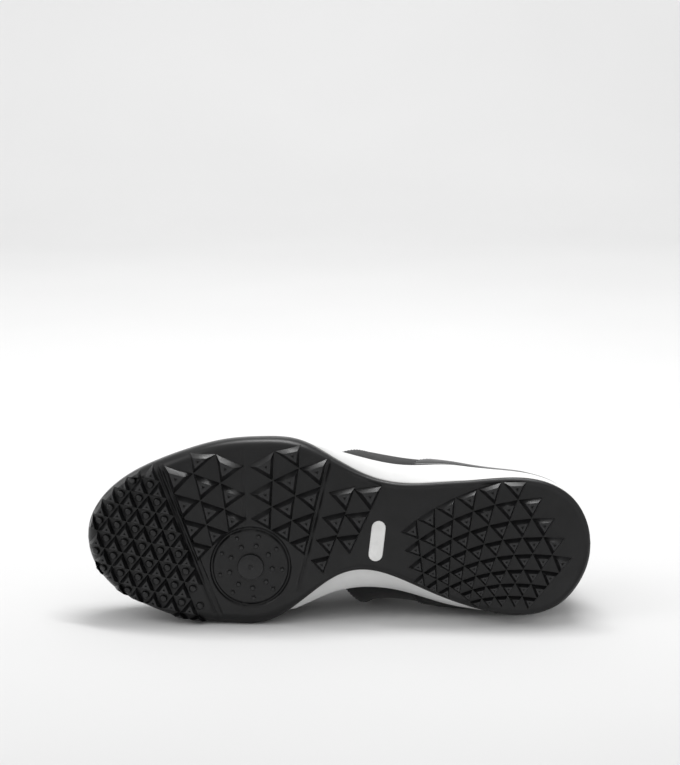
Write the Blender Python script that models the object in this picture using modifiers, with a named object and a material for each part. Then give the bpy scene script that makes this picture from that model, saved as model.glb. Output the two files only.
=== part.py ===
"""Turf shoe, left foot, size 42, lying on its medial side.

Everything is modelled in a standing frame (x from heel to toe, y to the lateral side, z up from the
ground) under one empty. The empty then lays the shoe down on the sole's medial edge and the upper.
"""
import math

import bmesh
import bpy
import numpy as np
from mathutils import Matrix, Vector

# Driving sizes in metres
LENGTH = 0.288            # outsole, heel to toe
BALL_WIDTH = 0.107        # outsole across the ball
HEEL_WIDTH = 0.080        # outsole across the heel
INSTEP_TOP = 0.109        # ground to the top of the eyestays
LUG_HEIGHT = 0.0040
PLATE = 0.0032            # rubber between the lugs
CUP_HEIGHT = 0.0105       # forefoot wall of the outsole above its floor
CUP_WALL = 0.0024         # thickness of that wall
RIM_INSIDE = 0.0014       # midsole rim between the cup's wall and the upper
TOE_SPRING = 0.0150
WAIST_LIFT = 0.0028       # waist of the sole above the ground plane
HEEL_BEVEL = 0.0026
MIDSOLE_HEEL = 0.0125     # foam under the heel
MIDSOLE_BALL = 0.0042     # foam under the ball
RIM_HEIGHT = 0.0050       # midsole rim above the foot bed
RIM_WALL = 0.0024
SIDE_INSET = 0.0004       # midsole's side from the outsole's edge, where it starts
SIDE_BULGE = 0.45         # swell of that side between the outsole's edge and the rim
UPPER_WALL = 0.0022
COLLAR_WALL = 0.0050      # padded wall at the collar
MARGIN = 0.0080           # upper turned in under the insole
INSOLE = 0.0036
INSOLE_CLEAR = 0.0012     # between the insole and the wall of the upper
TONGUE_WALL = 0.0040
TONGUE_WIDTH = 0.050
TONGUE_RISE = 0.017       # tongue above the top eyelets
OVERLAY = 0.0012          # quarter, eyestay and counter layers
LAYER_GAP = 0.0006        # under those layers, whose facets cross the upper's
GAP = 0.0003              # between pieces that touch
DISC_DIAMETER = 0.0465    # pivot disc under the ball of the foot
DISC_GROOVE = 0.0022
GROOVE_DEPTH = 0.0016
HUB_DIAMETER = 0.0150
EYELETS = 6               # in each row
EYELET_DIAMETER = 0.0044
LACE_WIDTH = 0.0056
LACE_THICK = 0.0013

STEPS = 28                # stations along each side of every loop


# Plan of the sole. Station as a share of LENGTH, half widths as shares of the local width:
# station, outsole lateral, outsole medial, midsole lateral, midsole medial
PLAN = (
    (0.000, -0.050, -0.050, -0.050, -0.050),
    (0.020, 0.213, -0.311, 0.203, -0.306),
    (0.060, 0.356, -0.472, 0.344, -0.469),
    (0.120, 0.431, -0.551, 0.429, -0.556),
    (0.200, 0.434, -0.532, 0.471, -0.572),
    (0.280, 0.402, -0.421, 0.489, -0.501),
    (0.360, 0.352, -0.263, 0.441, -0.366),
    (0.440, 0.369, -0.160, 0.443, -0.287),
    (0.500, 0.445, -0.179, 0.480, -0.290),
    (0.560, 0.538, -0.285, 0.534, -0.345),
    (0.640, 0.572, -0.419, 0.566, -0.415),
    (0.720, 0.561, -0.426, 0.555, -0.421),
    (0.800, 0.507, -0.406, 0.501, -0.401),
    (0.880, 0.422, -0.336, 0.417, -0.331),
    (0.940, 0.321, -0.257, 0.317, -0.253),
    (0.980, 0.206, -0.148, 0.202, -0.144),
    (1.000, 0.033, 0.033, 0.033, 0.033),
)

# Heights along the sole, each a share of the size in its name:
# station, spring (TOE_SPRING), lift (WAIST_LIFT), bevel (HEEL_BEVEL), foam (ball 0 to heel 1),
# cup lateral, cup medial (CUP_HEIGHT), rim lateral, rim medial (RIM_HEIGHT)
LEVELS = (
    (0.00, 0.00, 0.0, 1.00, 1.00, 0.00, 0.00, 1.30, 1.30),
    (0.08, 0.00, 0.0, 0.00, 1.00, 0.00, 0.00, 1.20, 1.20),
    (0.24, 0.00, 0.4, 0.00, 0.95, 0.00, 0.00, 1.00, 1.30),
    (0.40, 0.00, 1.0, 0.00, 0.62, 0.03, 0.02, 1.10, 1.90),
    (0.48, 0.00, 0.9, 0.00, 0.38, 0.35, 0.16, 1.20, 1.80),
    (0.56, 0.00, 0.4, 0.00, 0.14, 0.88, 0.55, 1.30, 1.50),
    (0.64, 0.00, 0.0, 0.00, 0.00, 1.00, 0.95, 1.00, 1.00),
    (0.74, 0.03, 0.0, 0.00, 0.00, 1.00, 1.00, 1.00, 1.00),
    (0.84, 0.22, 0.0, 0.00, 0.00, 1.02, 1.02, 1.00, 1.00),
    (0.94, 0.68, 0.0, 0.00, 0.00, 1.15, 1.15, 1.00, 1.00),
    (1.00, 1.00, 0.0, 0.00, 0.00, 1.25, 1.25, 1.00, 1.00),
)

# Stations over which the midsole's side goes inside the cup, over which its rim sinks below the cup's
# edge, and over which the upper's foot leaves the midsole's outline for the cup's, with how much further
# to the toe each lies on the medial side.
SIDE_ENDS = (0.545, 0.600, 0.040)
RIM_SINKS = (0.620, 0.680, 0.040)
RIM_HOLDS = (0.470, 0.520, 0.005)

# Sections of the last from the bite line to the top edge, one row for each ray, heel to toe:
# station at the sole, edge x (LENGTH), edge y (BALL_WIDTH), edge z (INSTEP_TOP), then the handles of
# the ray's curve: flare and lean outward (BALL_WIDTH), rise and drop (height of the ray)
LATERAL_RAYS = (
    (0.020, 0.048, 0.068, 0.820, 0.00, 0.35, 0.00, 0.35),
    (0.060, 0.075, 0.142, 0.800, 0.00, 0.35, 0.00, 0.35),
    (0.120, 0.125, 0.218, 0.722, 0.00, 0.35, 0.00, 0.35),
    (0.200, 0.200, 0.243, 0.622, 0.00, 0.35, 0.02, 0.30),
    (0.280, 0.275, 0.235, 0.650, 0.04, 0.35, 0.07, 0.30),
    (0.360, 0.345, 0.185, 0.835, 0.070, 0.36, 0.12, 0.25),
    (0.430, 0.390, 0.138, 0.975, 0.075, 0.36, 0.15, 0.20),
    (0.500, 0.437, 0.126, 0.925, 0.06, 0.38, 0.17, 0.15),
    (0.580, 0.492, 0.125, 0.855, 0.00, 0.42, 0.19, 0.12),
    (0.660, 0.545, 0.122, 0.786, 0.00, 0.42, 0.20, 0.10),
    (0.760, 0.595, 0.115, 0.722, 0.00, 0.45, 0.21, 0.12),
    (0.860, 0.635, 0.095, 0.670, 0.01, 0.50, 0.25, 0.18),
    (0.950, 0.658, 0.055, 0.638, 0.03, 0.52, 0.29, 0.32),
)
TOE_RAY = (1.000, 0.665, 0.015, 0.628, 0.04, 0.52, 0.32, 0.38)
MEDIAL_RAYS = (
    (0.950, 0.658, -0.025, 0.638, 0.03, 0.52, 0.29, 0.32),
    (0.860, 0.635, -0.065, 0.670, 0.01, 0.48, 0.25, 0.18),
    (0.760, 0.595, -0.088, 0.722, 0.02, 0.42, 0.24, 0.12),
    (0.660, 0.545, -0.105, 0.786, 0.06, 0.36, 0.26, 0.12),
    (0.580, 0.492, -0.118, 0.855, 0.17, 0.30, 0.30, 0.15),
    (0.500, 0.437, -0.124, 0.925, 0.26, 0.26, 0.32, 0.18),
    (0.430, 0.390, -0.140, 0.975, 0.25, 0.26, 0.29, 0.22),
    (0.360, 0.345, -0.195, 0.835, 0.20, 0.28, 0.20, 0.28),
    (0.280, 0.275, -0.260, 0.650, 0.11, 0.32, 0.12, 0.30),
    (0.200, 0.200, -0.315, 0.622, 0.05, 0.35, 0.08, 0.30),
    (0.120, 0.125, -0.295, 0.722, 0.03, 0.35, 0.07, 0.35),
    (0.060, 0.075, -0.232, 0.800, 0.04, 0.35, 0.05, 0.35),
    (0.020, 0.048, -0.144, 0.820, 0.03, 0.35, 0.03, 0.35),
)
HEEL_RAY = (0.000, 0.042, -0.037, 0.825, 0.03, 0.35, 0.02, 0.35)


# Interpolation

def along(table, column):
    """A smooth reading of one table column by station that never overshoots its rows."""
    t = np.array([row[0] for row in table])
    v = np.array([row[column] for row in table])
    step = np.diff(t)
    slope = np.diff(v) / step
    m = np.zeros(len(t))
    for i in range(1, len(t) - 1):
        if slope[i - 1] * slope[i] > 0:
            m[i] = 2.0 / (1.0 / slope[i - 1] + 1.0 / slope[i])

    def read(at):
        at = np.clip(at, t[0], t[-1])
        k = np.clip(np.searchsorted(t, at, side="right") - 1, 0, len(step) - 1)
        h = step[k]
        s = (at - t[k]) / h
        return ((1 + 2 * s) * (1 - s) ** 2 * v[k] + s * (1 - s) ** 2 * h * m[k]
                + s * s * (3 - 2 * s) * v[k + 1] + s * s * (s - 1) * h * m[k + 1])
    return read


def around(turns, values):
    """A cubic curve through values at turns, closed after two turns (heel 0, toe 1, heel 2)."""
    t = np.array(turns)
    v = np.array(values, dtype=float).reshape(len(t), -1)
    count = len(t)
    h = np.diff(np.append(t, t[0] + 2.0))
    matrix = np.zeros((count, count))
    right = np.zeros_like(v)
    for i in range(count):
        after = (i + 1) % count
        matrix[i, i - 1] += h[i - 1]
        matrix[i, i] += 2 * (h[i - 1] + h[i])
        matrix[i, after] += h[i]
        right[i] = 6 * ((v[after] - v[i]) / h[i] - (v[i] - v[i - 1]) / h[i - 1])
    bend = np.linalg.solve(matrix, right)

    def read(at):
        at = np.mod(np.asarray(at, dtype=float) - t[0], 2.0) + t[0]
        k = np.clip(np.searchsorted(t, at, side="right") - 1, 0, count - 1)
        after = (k + 1) % count
        width = h[k][:, None]
        s = (at - t[k])[:, None]
        r = width - s
        return ((bend[k] * r ** 3 + bend[after] * s ** 3) / (6 * width)
                + (v[k] / width - bend[k] * width / 6) * r
                + (v[after] / width - bend[after] * width / 6) * s)
    return read


def turn_of(station, lateral=True):
    turn = math.acos(1 - 2 * station) / math.pi
    return turn if lateral else 2 - turn


def station_of(turns):
    return (1 - np.cos(np.pi * np.asarray(turns))) / 2


def smooth(low, high, value):
    s = np.clip((np.asarray(value) - low) / (high - low), 0, 1)
    return s * s * (3 - 2 * s)


def mix(a, b, share):
    return a + (b - a) * share


# The sole's loops, read at turns around the shoe

def local_width(station):
    return mix(HEEL_WIDTH, BALL_WIDTH, smooth(0.22, 0.50, station))


def plan_loop(lateral_column, medial_column):
    turns = []
    shares = []
    for row in PLAN:
        turns.append(turn_of(row[0]))
        shares.append(row[lateral_column])
    for row in reversed(PLAN[1:-1]):
        turns.append(turn_of(row[0], lateral=False))
        shares.append(row[medial_column])
    return around(turns, shares)


OUTSOLE_SHARE = plan_loop(1, 2)
MIDSOLE_SHARE = plan_loop(3, 4)
SPRING, LIFT, BEVEL, FOAM = [along(LEVELS, column) for column in (1, 2, 3, 4)]
CUP = [along(LEVELS, column) for column in (5, 6)]
RIM = [along(LEVELS, column) for column in (7, 8)]


def loop_points(share, turns):
    station = station_of(turns)
    return np.stack([LENGTH * station, share(turns)[:, 0] * local_width(station)], axis=1)


def loop_normals(share, turns):
    step = 1e-4
    along_loop = loop_points(share, turns + step) - loop_points(share, turns - step)
    normals = np.stack([-along_loop[:, 1], along_loop[:, 0]], axis=1)
    return normals / np.linalg.norm(normals, axis=1)[:, None]


def inset_loop(share, turns, inset):
    inset = np.broadcast_to(inset, np.shape(turns))[:, None]
    return loop_points(share, turns) - loop_normals(share, turns) * inset


def by_side(pair, turns):
    """Reads the lateral table on turns 0 to 1 and the medial one on 1 to 2, blended at both ends."""
    station = station_of(turns)
    medial = (1 - np.sin(np.pi * np.asarray(turns)) / np.maximum(np.abs(np.sin(np.pi * turns)), 1e-9)) / 2
    medial = np.where(np.abs(np.sin(np.pi * np.asarray(turns))) < 1e-6, 0.5, medial)
    return mix(pair[0](station), pair[1](station), medial)


def base_height(station):
    return LUG_HEIGHT + TOE_SPRING * SPRING(station) + WAIST_LIFT * LIFT(station) + HEEL_BEVEL * BEVEL(station)


def floor_height(station):
    return base_height(station) + PLATE


def bed_height(station):
    foam = mix(MIDSOLE_BALL, MIDSOLE_HEEL, FOAM(station))
    return LUG_HEIGHT + PLATE + GAP + TOE_SPRING * SPRING(station) + foam


def cup_share(turns):
    return by_side(CUP, turns)


def cup_top(turns):
    return floor_height(station_of(turns)) + CUP_HEIGHT * cup_share(turns)


def before(stations, turns):
    """1 on the heel's side of a run of stations and 0 on the toe's side."""
    shift = np.where(np.mod(turns, 2.0) > 1, stations[2], 0.0)
    return 1 - smooth(stations[0] + shift, stations[1] + shift, station_of(turns))


def cup_ledge(turns):
    """Underside of the midsole over the cup's edge, sunk below that edge toward the toe."""
    return cup_top(turns) + mix(-0.0012, 3 * GAP, before(RIM_SINKS, turns))


def rim_top(turns):
    rim = bed_height(station_of(turns)) + RIM_HEIGHT * by_side(RIM, turns)
    shown = np.maximum(rim, cup_ledge(turns) + 0.0006)
    return mix(cup_ledge(turns) + 0.0006, shown, before(SIDE_ENDS, turns))


def bite_loop(turns, clearance):
    """Inner face of the rim that wraps the upper, moved in by the clearance."""
    cup = inset_loop(OUTSOLE_SHARE, turns, CUP_WALL + 2 * GAP + RIM_INSIDE + clearance)
    rim = inset_loop(MIDSOLE_SHARE, turns, RIM_WALL + clearance)
    return mix(cup, rim, before(RIM_HOLDS, turns)[:, None])


def side_rise(turns):
    """Height of the foot bed as a share of the midsole's side, from its ledge to its rim."""
    ledge = cup_ledge(turns)
    rise = (bed_height(station_of(turns)) - ledge) / (rim_top(turns) - ledge)
    return np.clip(rise, 0.30, 0.75)


def side_share(rise):
    """How far the midsole's side has come out from the outsole's edge at a share of its height."""
    return rise * (1 + SIDE_BULGE * (1 - rise))


def bed_loop(turns, clearance):
    """Outline of the foot bed, set in from the midsole's sloped side by the rim's wall."""
    cup = inset_loop(OUTSOLE_SHARE, turns, CUP_WALL + 2 * GAP + RIM_INSIDE + clearance)
    foot = inset_loop(OUTSOLE_SHARE, turns, SIDE_INSET + RIM_WALL + clearance)
    wide = inset_loop(MIDSOLE_SHARE, turns, RIM_WALL + clearance)
    rim = mix(foot, wide, side_share(side_rise(turns))[:, None])
    return mix(cup, rim, before(RIM_HOLDS, turns)[:, None])


def own_station(plan):
    """Station of each plan point by where it lies, not by the turn that it was read at."""
    return np.clip(plan[:, 0] / LENGTH, 0, 1)


def ring(plan, height):
    height = np.broadcast_to(height, len(plan))
    return np.concatenate([plan, height[:, None]], axis=1)


def all_turns():
    return np.arange(2 * STEPS) / STEPS


# Meshes

def new_object(name, bm, collection):
    bmesh.ops.recalc_face_normals(bm, faces=bm.faces)
    mesh = bpy.data.meshes.new(name)
    bm.to_mesh(mesh)
    bm.free()
    piece = bpy.data.objects.new(name, mesh)
    collection.objects.link(piece)
    return piece


def add_ladder(bm, verts):
    """Closes a loop with a strip that joins each lateral point to the medial one opposite."""
    count = len(verts)
    for i in range(count // 2):
        corners = [verts[i], verts[i + 1], verts[(count - i - 1) % count], verts[(count - i) % count]]
        bm.faces.new(list(dict.fromkeys(corners)))


def add_rings(bm, rings):
    loops = [[bm.verts.new(point) for point in points] for points in rings]
    for low, high in zip(loops, loops[1:]):
        for i in range(len(low)):
            after = (i + 1) % len(low)
            bm.faces.new((low[i], low[after], high[after], high[i]))
    return loops


def loft_rings(name, rings, collection):
    bm = bmesh.new()
    loops = add_rings(bm, rings)
    add_ladder(bm, loops[0])
    add_ladder(bm, loops[-1])
    return new_object(name, bm, collection)


def add_boolean(piece, cutter, operation):
    modifier = piece.modifiers.new(cutter.name, "BOOLEAN")
    modifier.operation = operation
    modifier.solver = "EXACT"
    modifier.object = cutter


def make_guide(guide):
    guide.hide_render = True
    guide.display_type = "WIRE"
    return guide


# Outsole

def outsole_rings():
    turns = all_turns()
    share = np.clip(cup_share(turns), 0, 1)
    wall = CUP_WALL
    top = cup_top(turns) + mix(0.0004, 0.0, share)
    # inset of each ring and its height above the plate, for the bare plate and for the full cup
    low_rows = (
        (mix(0.0016, 0.0065, share), 0.0),
        (mix(0.0005, 0.0022, share), mix(0.0005, 0.0016, share)),
        (mix(0.0000, 0.0003, share), mix(0.0013, 0.0048, share)),
        (mix(0.0000, 0.0002, share), mix(0.0024, 0.0088, share)),
    )
    # inset of each ring and its depth below the top edge
    high_rows = (
        (mix(0.0004, wall * 0.2, share), mix(0.0003, 0.0010, share)),
        (mix(0.0010, wall * 0.45, share), 0.0),
        (mix(0.0015, wall - 0.0005, share), mix(0.0002, 0.0, share)),
        (mix(0.0019, wall, share), mix(0.0004, 0.0010, share)),
    )
    rings = []
    for inset, above in low_rows:
        plan = inset_loop(OUTSOLE_SHARE, turns, inset)
        rings.append(ring(plan, base_height(own_station(plan)) + above))
    for inset, below in high_rows:
        rings.append(ring(inset_loop(OUTSOLE_SHARE, turns, inset), top - below))
    plan = inset_loop(OUTSOLE_SHARE, turns, mix(0.0023, wall + 0.0003, share))
    rings.append(ring(plan, floor_height(own_station(plan))))
    return rings


def inside_outline(point, margin):
    """Moves a plan point in to the outsole's outline less a margin, if it lies outside."""
    station = np.clip(point[0] / LENGTH, 0.002, 0.998)
    turn = turn_of(station, lateral=point[1] > 0)
    near = turn + np.linspace(-0.08, 0.08, 81)
    edge = inset_loop(OUTSOLE_SHARE, near, margin)
    nearest = np.argmin(np.linalg.norm(edge - point, axis=1))
    normal = loop_normals(OUTSOLE_SHARE, near[nearest:nearest + 1])[0]
    over = float(np.dot(point - edge[nearest], normal))
    if over <= 0:
        return np.array(point), 0.0
    return edge[nearest], over


LUG_TOP = 0.52            # size of a lug's top against its foot
LUG_LEAN = 0.05           # how far the top leans to its steep edge
LUG_INSET = 0.94          # lug's foot against its cell of the pattern
LUG_SEAT = 0.0009         # depth that a lug runs into the plate
LUG_ROOT = 0.0022         # the same for a lug on the rounded edge
LUG_PLINTH = 0.0003       # upright foot of a lug below the plate
EDGE_MARGIN = 0.0022      # lugs stop short of the outline
EDGE_ROUND = 0.0070       # the plate is flat inside this distance from the outline
LUG_SLIVER = 0.0012       # a lug whose middle is this near to that margin is left out


def add_lug(bm, corners, disc_reach):
    """A three-sided lug. Its first corner is the far point, the other two the ends of its steep edge."""
    corners = np.array(corners)
    middle = corners.mean(axis=0)
    inside = [inside_outline(corner, EDGE_MARGIN) for corner in corners]
    on_edge = max(inside_outline(corner, EDGE_ROUND)[1] for corner in corners) > 0
    if inside_outline(middle, EDGE_MARGIN + LUG_SLIVER)[1] > 0:
        return
    if np.linalg.norm(middle - disc_middle()) < disc_reach:
        return
    corners = np.array([point for point, over in inside])
    middle = corners.mean(axis=0)
    foot = middle + (corners - middle) * LUG_INSET
    lean = ((foot[1] + foot[2]) / 2 - foot[0]) * LUG_LEAN
    top = middle + lean + (foot - middle) * LUG_TOP
    slope = (foot - top) / LUG_HEIGHT
    if on_edge:
        sections = ((foot, LUG_ROOT), (foot, -LUG_PLINTH), (top, -LUG_HEIGHT))
    else:
        sections = ((foot + slope * LUG_SEAT, LUG_SEAT), (top, -LUG_HEIGHT))
    levels = []
    for plan, depth in sections:
        height = base_height(plan[:, 0] / LENGTH) + depth
        levels.append([bm.verts.new((x, y, z)) for (x, y), z in zip(plan, height)])
    for low, high in zip(levels, levels[1:]):
        for i in range(3):
            after = (i + 1) % 3
            bm.faces.new((low[i], low[after], high[after], high[i]))
    bm.faces.new(levels[0])
    bm.faces.new(levels[-1])


# A fan of lugs turns about a focus: x (LENGTH), y (BALL_WIDTH), radius (LENGTH), turn of a column in
# degrees toward the toe, shrink of a column, shrink of a row, turn of a row in degrees
FOREFOOT_FAN = (0.6615, -1.0636, 0.5545, 5.2, 1.0, 0.9, 0.0)
HEEL_FAN = (0.2774, -0.9322, 0.4820, 5.536, 0.9554, 0.9197, -2.262)
# Angle of each fan's first column from the lateral direction, toward the toe
FOREFOOT_MIDDLE = 1.62
MIDDLE_GAP = 0.42
HEEL_START = -18.84

# Lug columns of the forefoot: side of the middle (1 toe, -1 heel), steep column, first row, lugs
FOREFOOT_COLUMNS = (
    (1, 1, -0.5, 3),
    (1, 2, -1.0, 4),
    (1, 3, -0.5, 4),
    (-1, 1, -0.5, 3),
    (-1, 2, -1.0, 4),
    (-1, 3, -0.5, 4),
    (-1, 4.36, 0.15, 4),
    (-1, 5.32, -0.22, 3),
)
# Rows of the heel: lugs, where the row starts (columns toward the toe)
HEEL_ROWS = ((6, 0.5), (7, 0.0), (8, -0.5), (9, -1.0), (9, -1.5), (8, -1.0), (7, -0.5), (5, 0.0))


def fan_point(fan, start_degrees, column, row):
    focus_x, focus_y, radius, turn, shrink, row_shrink, row_turn = fan
    angle = math.radians(start_degrees + turn * column + row_turn * row)
    reach = radius * LENGTH * shrink ** column * row_shrink ** row
    return (focus_x * LENGTH + reach * math.sin(angle), focus_y * BALL_WIDTH + reach * math.cos(angle))


def forefoot_lug(side, steep, row):
    """Corners of a forefoot lug whose steep edge lies on a column and whose point looks to the middle."""
    start = FOREFOOT_MIDDLE + side * MIDDLE_GAP
    fan = FOREFOOT_FAN[:3] + (side * FOREFOOT_FAN[3],) + FOREFOOT_FAN[4:]
    return (fan_point(fan, start, steep - 1, row + 0.5),
            fan_point(fan, start, steep, row),
            fan_point(fan, start, steep, row + 1))


def heel_lug(column, row):
    """Corners of a heel lug. Its point looks to the toe and its steep edge to the heel."""
    third = 1 / 3
    return (fan_point(HEEL_FAN, HEEL_START, column + 0.5, row - third),
            fan_point(HEEL_FAN, HEEL_START, column - 0.5, row - third),
            fan_point(HEEL_FAN, HEEL_START, column, row + 2 * third))


# The toe's lugs stand on a straight grid: origin and steps in shares of LENGTH and BALL_WIDTH
TOE_ORIGIN = (0.8851, 0.0558)
TOE_STEP = (-0.03639, -0.01972)
TOE_ROW = (-0.01311, -0.09393)
TOE_GRID = 9              # steps tried each way from the origin


def toe_lug(step, row):
    third = 1 / 3
    corners = []
    for a, b in ((third, third), (-2 * third, third), (third, -2 * third)):
        x = TOE_ORIGIN[0] + TOE_STEP[0] * (step + a) + TOE_ROW[0] * (row + b)
        y = TOE_ORIGIN[1] + TOE_STEP[1] * (step + a) + TOE_ROW[1] * (row + b)
        corners.append((x * LENGTH, y * BALL_WIDTH))
    return corners[2], corners[0], corners[1]


# Grooves between the zones, as two plan points each: x (LENGTH), y (BALL_WIDTH)
TOE_GROOVE = ((0.8479, 0.4340), (0.7380, -0.3830))
REAR_GROOVE = ((0.5132, 0.4380), (0.5802, -0.2410))
MIDDLE_GROOVE = ((0.6833, 0.5150), (0.6833, 0.1020))


def groove_side(point, groove):
    """Signed distance of a plan point from a groove's line, positive toward the toe."""
    (ax, ay), (bx, by) = groove
    a = np.array((ax * LENGTH, ay * BALL_WIDTH))
    b = np.array((bx * LENGTH, by * BALL_WIDTH))
    line = (b - a) / np.linalg.norm(b - a)
    offset = np.array(point) - a
    return float(line[0] * offset[1] - line[1] * offset[0])


GROOVE_CLEAR = 0.0052     # middles of the toe lugs keep this far from the toe groove
DISC_CENTRE = (0.6735, -0.1150)
DISC_CLEAR = 0.0030       # lugs keep this far from the pivot disc
DISC_SIDES = 32
HUB_HEIGHT = 0.0018
PIN_HEIGHT = 0.0012
PIN_DIRECTIONS = 9
PIN_START = 266.3         # degrees from the toe direction toward the lateral side
# Rings of pins on the disc: radius (DISC_DIAMETER), pin diameter
PIN_RINGS = ((0.265, 0.0027), (0.387, 0.0023))


def disc_middle():
    return np.array((DISC_CENTRE[0] * LENGTH, DISC_CENTRE[1] * BALL_WIDTH))


def circle(middle, radius, sides):
    angles = 2 * np.pi * np.arange(sides) / sides
    return np.array(middle) + radius * np.stack([np.cos(angles), np.sin(angles)], axis=1)


def add_stack(bm, levels):
    """A closed body through plan outlines at heights."""
    loops = add_rings(bm, [ring(plan, height) for plan, height in levels])
    bm.faces.new(loops[0])
    bm.faces.new(loops[-1])


def make_lugs(collection):
    bm = bmesh.new()
    disc_reach = DISC_DIAMETER / 2 + DISC_CLEAR
    for side, steep, first, count in FOREFOOT_COLUMNS:
        for k in range(count):
            add_lug(bm, forefoot_lug(side, steep, first + k), disc_reach)
    for row, (count, start) in enumerate(HEEL_ROWS):
        for k in range(count):
            add_lug(bm, heel_lug(start + k, row), disc_reach)
    for step in range(-TOE_GRID, TOE_GRID):
        for row in range(-TOE_GRID, TOE_GRID):
            corners = toe_lug(step, row)
            middle = np.mean(corners, axis=0)
            if middle[0] < LENGTH and groove_side(middle, TOE_GROOVE) > GROOVE_CLEAR:
                add_lug(bm, corners, disc_reach)
    return make_guide(new_object("lug_blocks", bm, collection))


def make_disc_studs(collection):
    """Hub and pins of the pivot disc, rooted in the plate."""
    bm = bmesh.new()
    middle = disc_middle()
    base = float(base_height(middle[0] / LENGTH))
    hub = HUB_DIAMETER / 2
    add_stack(bm, ((circle(middle, hub, 20), base + LUG_SEAT),
                   (circle(middle, hub, 20), base - HUB_HEIGHT * 0.6),
                   (circle(middle, hub - HUB_HEIGHT * 0.5, 20), base - HUB_HEIGHT)))
    for share, diameter in PIN_RINGS:
        for k in range(PIN_DIRECTIONS):
            angle = math.radians(PIN_START - 360 * k / PIN_DIRECTIONS)
            spot = middle + share * DISC_DIAMETER * np.array((math.cos(angle), math.sin(angle)))
            add_stack(bm, ((circle(spot, diameter / 2, 6), base + LUG_SEAT),
                           (circle(spot, diameter * 0.36, 6), base - PIN_HEIGHT)))
    return make_guide(new_object("disc_studs", bm, collection))


def make_grooves(collection):
    """Ring groove of the disc, the flex grooves and the pocket of the inlay, as one cutter."""
    bm = bmesh.new()
    middle = disc_middle()
    base = float(base_height(middle[0] / LENGTH))
    outer = circle(middle, DISC_DIAMETER / 2, DISC_SIDES)
    inner = circle(middle, DISC_DIAMETER / 2 - DISC_GROOVE, DISC_SIDES)
    below = base - GROOVE_DEPTH
    rings = [ring(outer, below), ring(outer, base + GROOVE_DEPTH),
             ring(inner, base + GROOVE_DEPTH), ring(inner, below)]
    loops = add_rings(bm, rings)
    for i in range(DISC_SIDES):
        after = (i + 1) % DISC_SIDES
        bm.faces.new((loops[-1][i], loops[-1][after], loops[0][after], loops[0][i]))
    for groove in (TOE_GROOVE, REAR_GROOVE, MIDDLE_GROOVE):
        add_groove(bm, groove)
    add_pill(bm, 0.0, base_height(INLAY_PLACE[0]) - GROOVE_DEPTH, base_height(INLAY_PLACE[0]) + INLAY_DEPTH)
    return make_guide(new_object("sole_cuts", bm, collection))


FLEX_GROOVE = 0.0022      # width of the straight grooves
GROOVE_STEPS = 6


def add_groove(bm, groove):
    (ax, ay), (bx, by) = groove
    start = np.array((ax * LENGTH, ay * BALL_WIDTH))
    end = np.array((bx * LENGTH, by * BALL_WIDTH))
    line = (end - start) / np.linalg.norm(end - start)
    across = np.array((-line[1], line[0])) * FLEX_GROOVE / 2
    loops = []
    for k in range(GROOVE_STEPS + 1):
        spot = start + (end - start) * k / GROOVE_STEPS
        base = float(base_height(spot[0] / LENGTH))
        loop = []
        for side, height in ((-1, base - GROOVE_DEPTH), (1, base - GROOVE_DEPTH),
                             (0.6, base + GROOVE_DEPTH), (-0.6, base + GROOVE_DEPTH)):
            x, y = spot + across * side
            loop.append(bm.verts.new((x, y, height)))
        loops.append(loop)
    for low, high in zip(loops, loops[1:]):
        for i in range(4):
            after = (i + 1) % 4
            bm.faces.new((low[i], low[after], high[after], high[i]))
    bm.faces.new(loops[0])
    bm.faces.new(loops[-1])


# Plain rounded inlay at the waist of the sole
INLAY_PLACE = (0.4223, 0.003)      # x (LENGTH), y (BALL_WIDTH)
INLAY_LENGTH = 0.0240
INLAY_WIDTH = 0.0085
INLAY_DEPTH = 0.0013
INLAY_TURN = 8.0                   # degrees from straight across the sole


def pill_outline(inset):
    middle = np.array((INLAY_PLACE[0] * LENGTH, INLAY_PLACE[1] * BALL_WIDTH))
    radius = INLAY_WIDTH / 2
    tilt = math.radians(INLAY_TURN)
    points = []
    for end in (1, -1):
        for k in range(9):
            angle = math.pi * k / 8 + (0 if end > 0 else math.pi)
            x = (radius - inset) * math.cos(angle)
            y = (radius - inset) * math.sin(angle) + end * (INLAY_LENGTH / 2 - radius)
            points.append(middle + np.array((x * math.cos(tilt) - y * math.sin(tilt),
                                             x * math.sin(tilt) + y * math.cos(tilt))))
    return np.array(points)


def add_pill(bm, inset, low, high):
    add_stack(bm, ((pill_outline(inset), float(low)), (pill_outline(inset), float(high))))


def make_inlay(parts):
    bm = bmesh.new()
    base = float(base_height(INLAY_PLACE[0]))
    add_pill(bm, GAP, base - GAP, base + INLAY_DEPTH - GAP)
    return new_object("sole_inlay", bm, parts)


def make_outsole(parts, cutters):
    outsole = loft_rings("outsole", outsole_rings(), parts)
    add_boolean(outsole, make_lugs(cutters), "UNION")
    add_boolean(outsole, make_grooves(cutters), "DIFFERENCE")
    add_boolean(outsole, make_disc_studs(cutters), "UNION")
    return outsole


# Midsole

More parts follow.
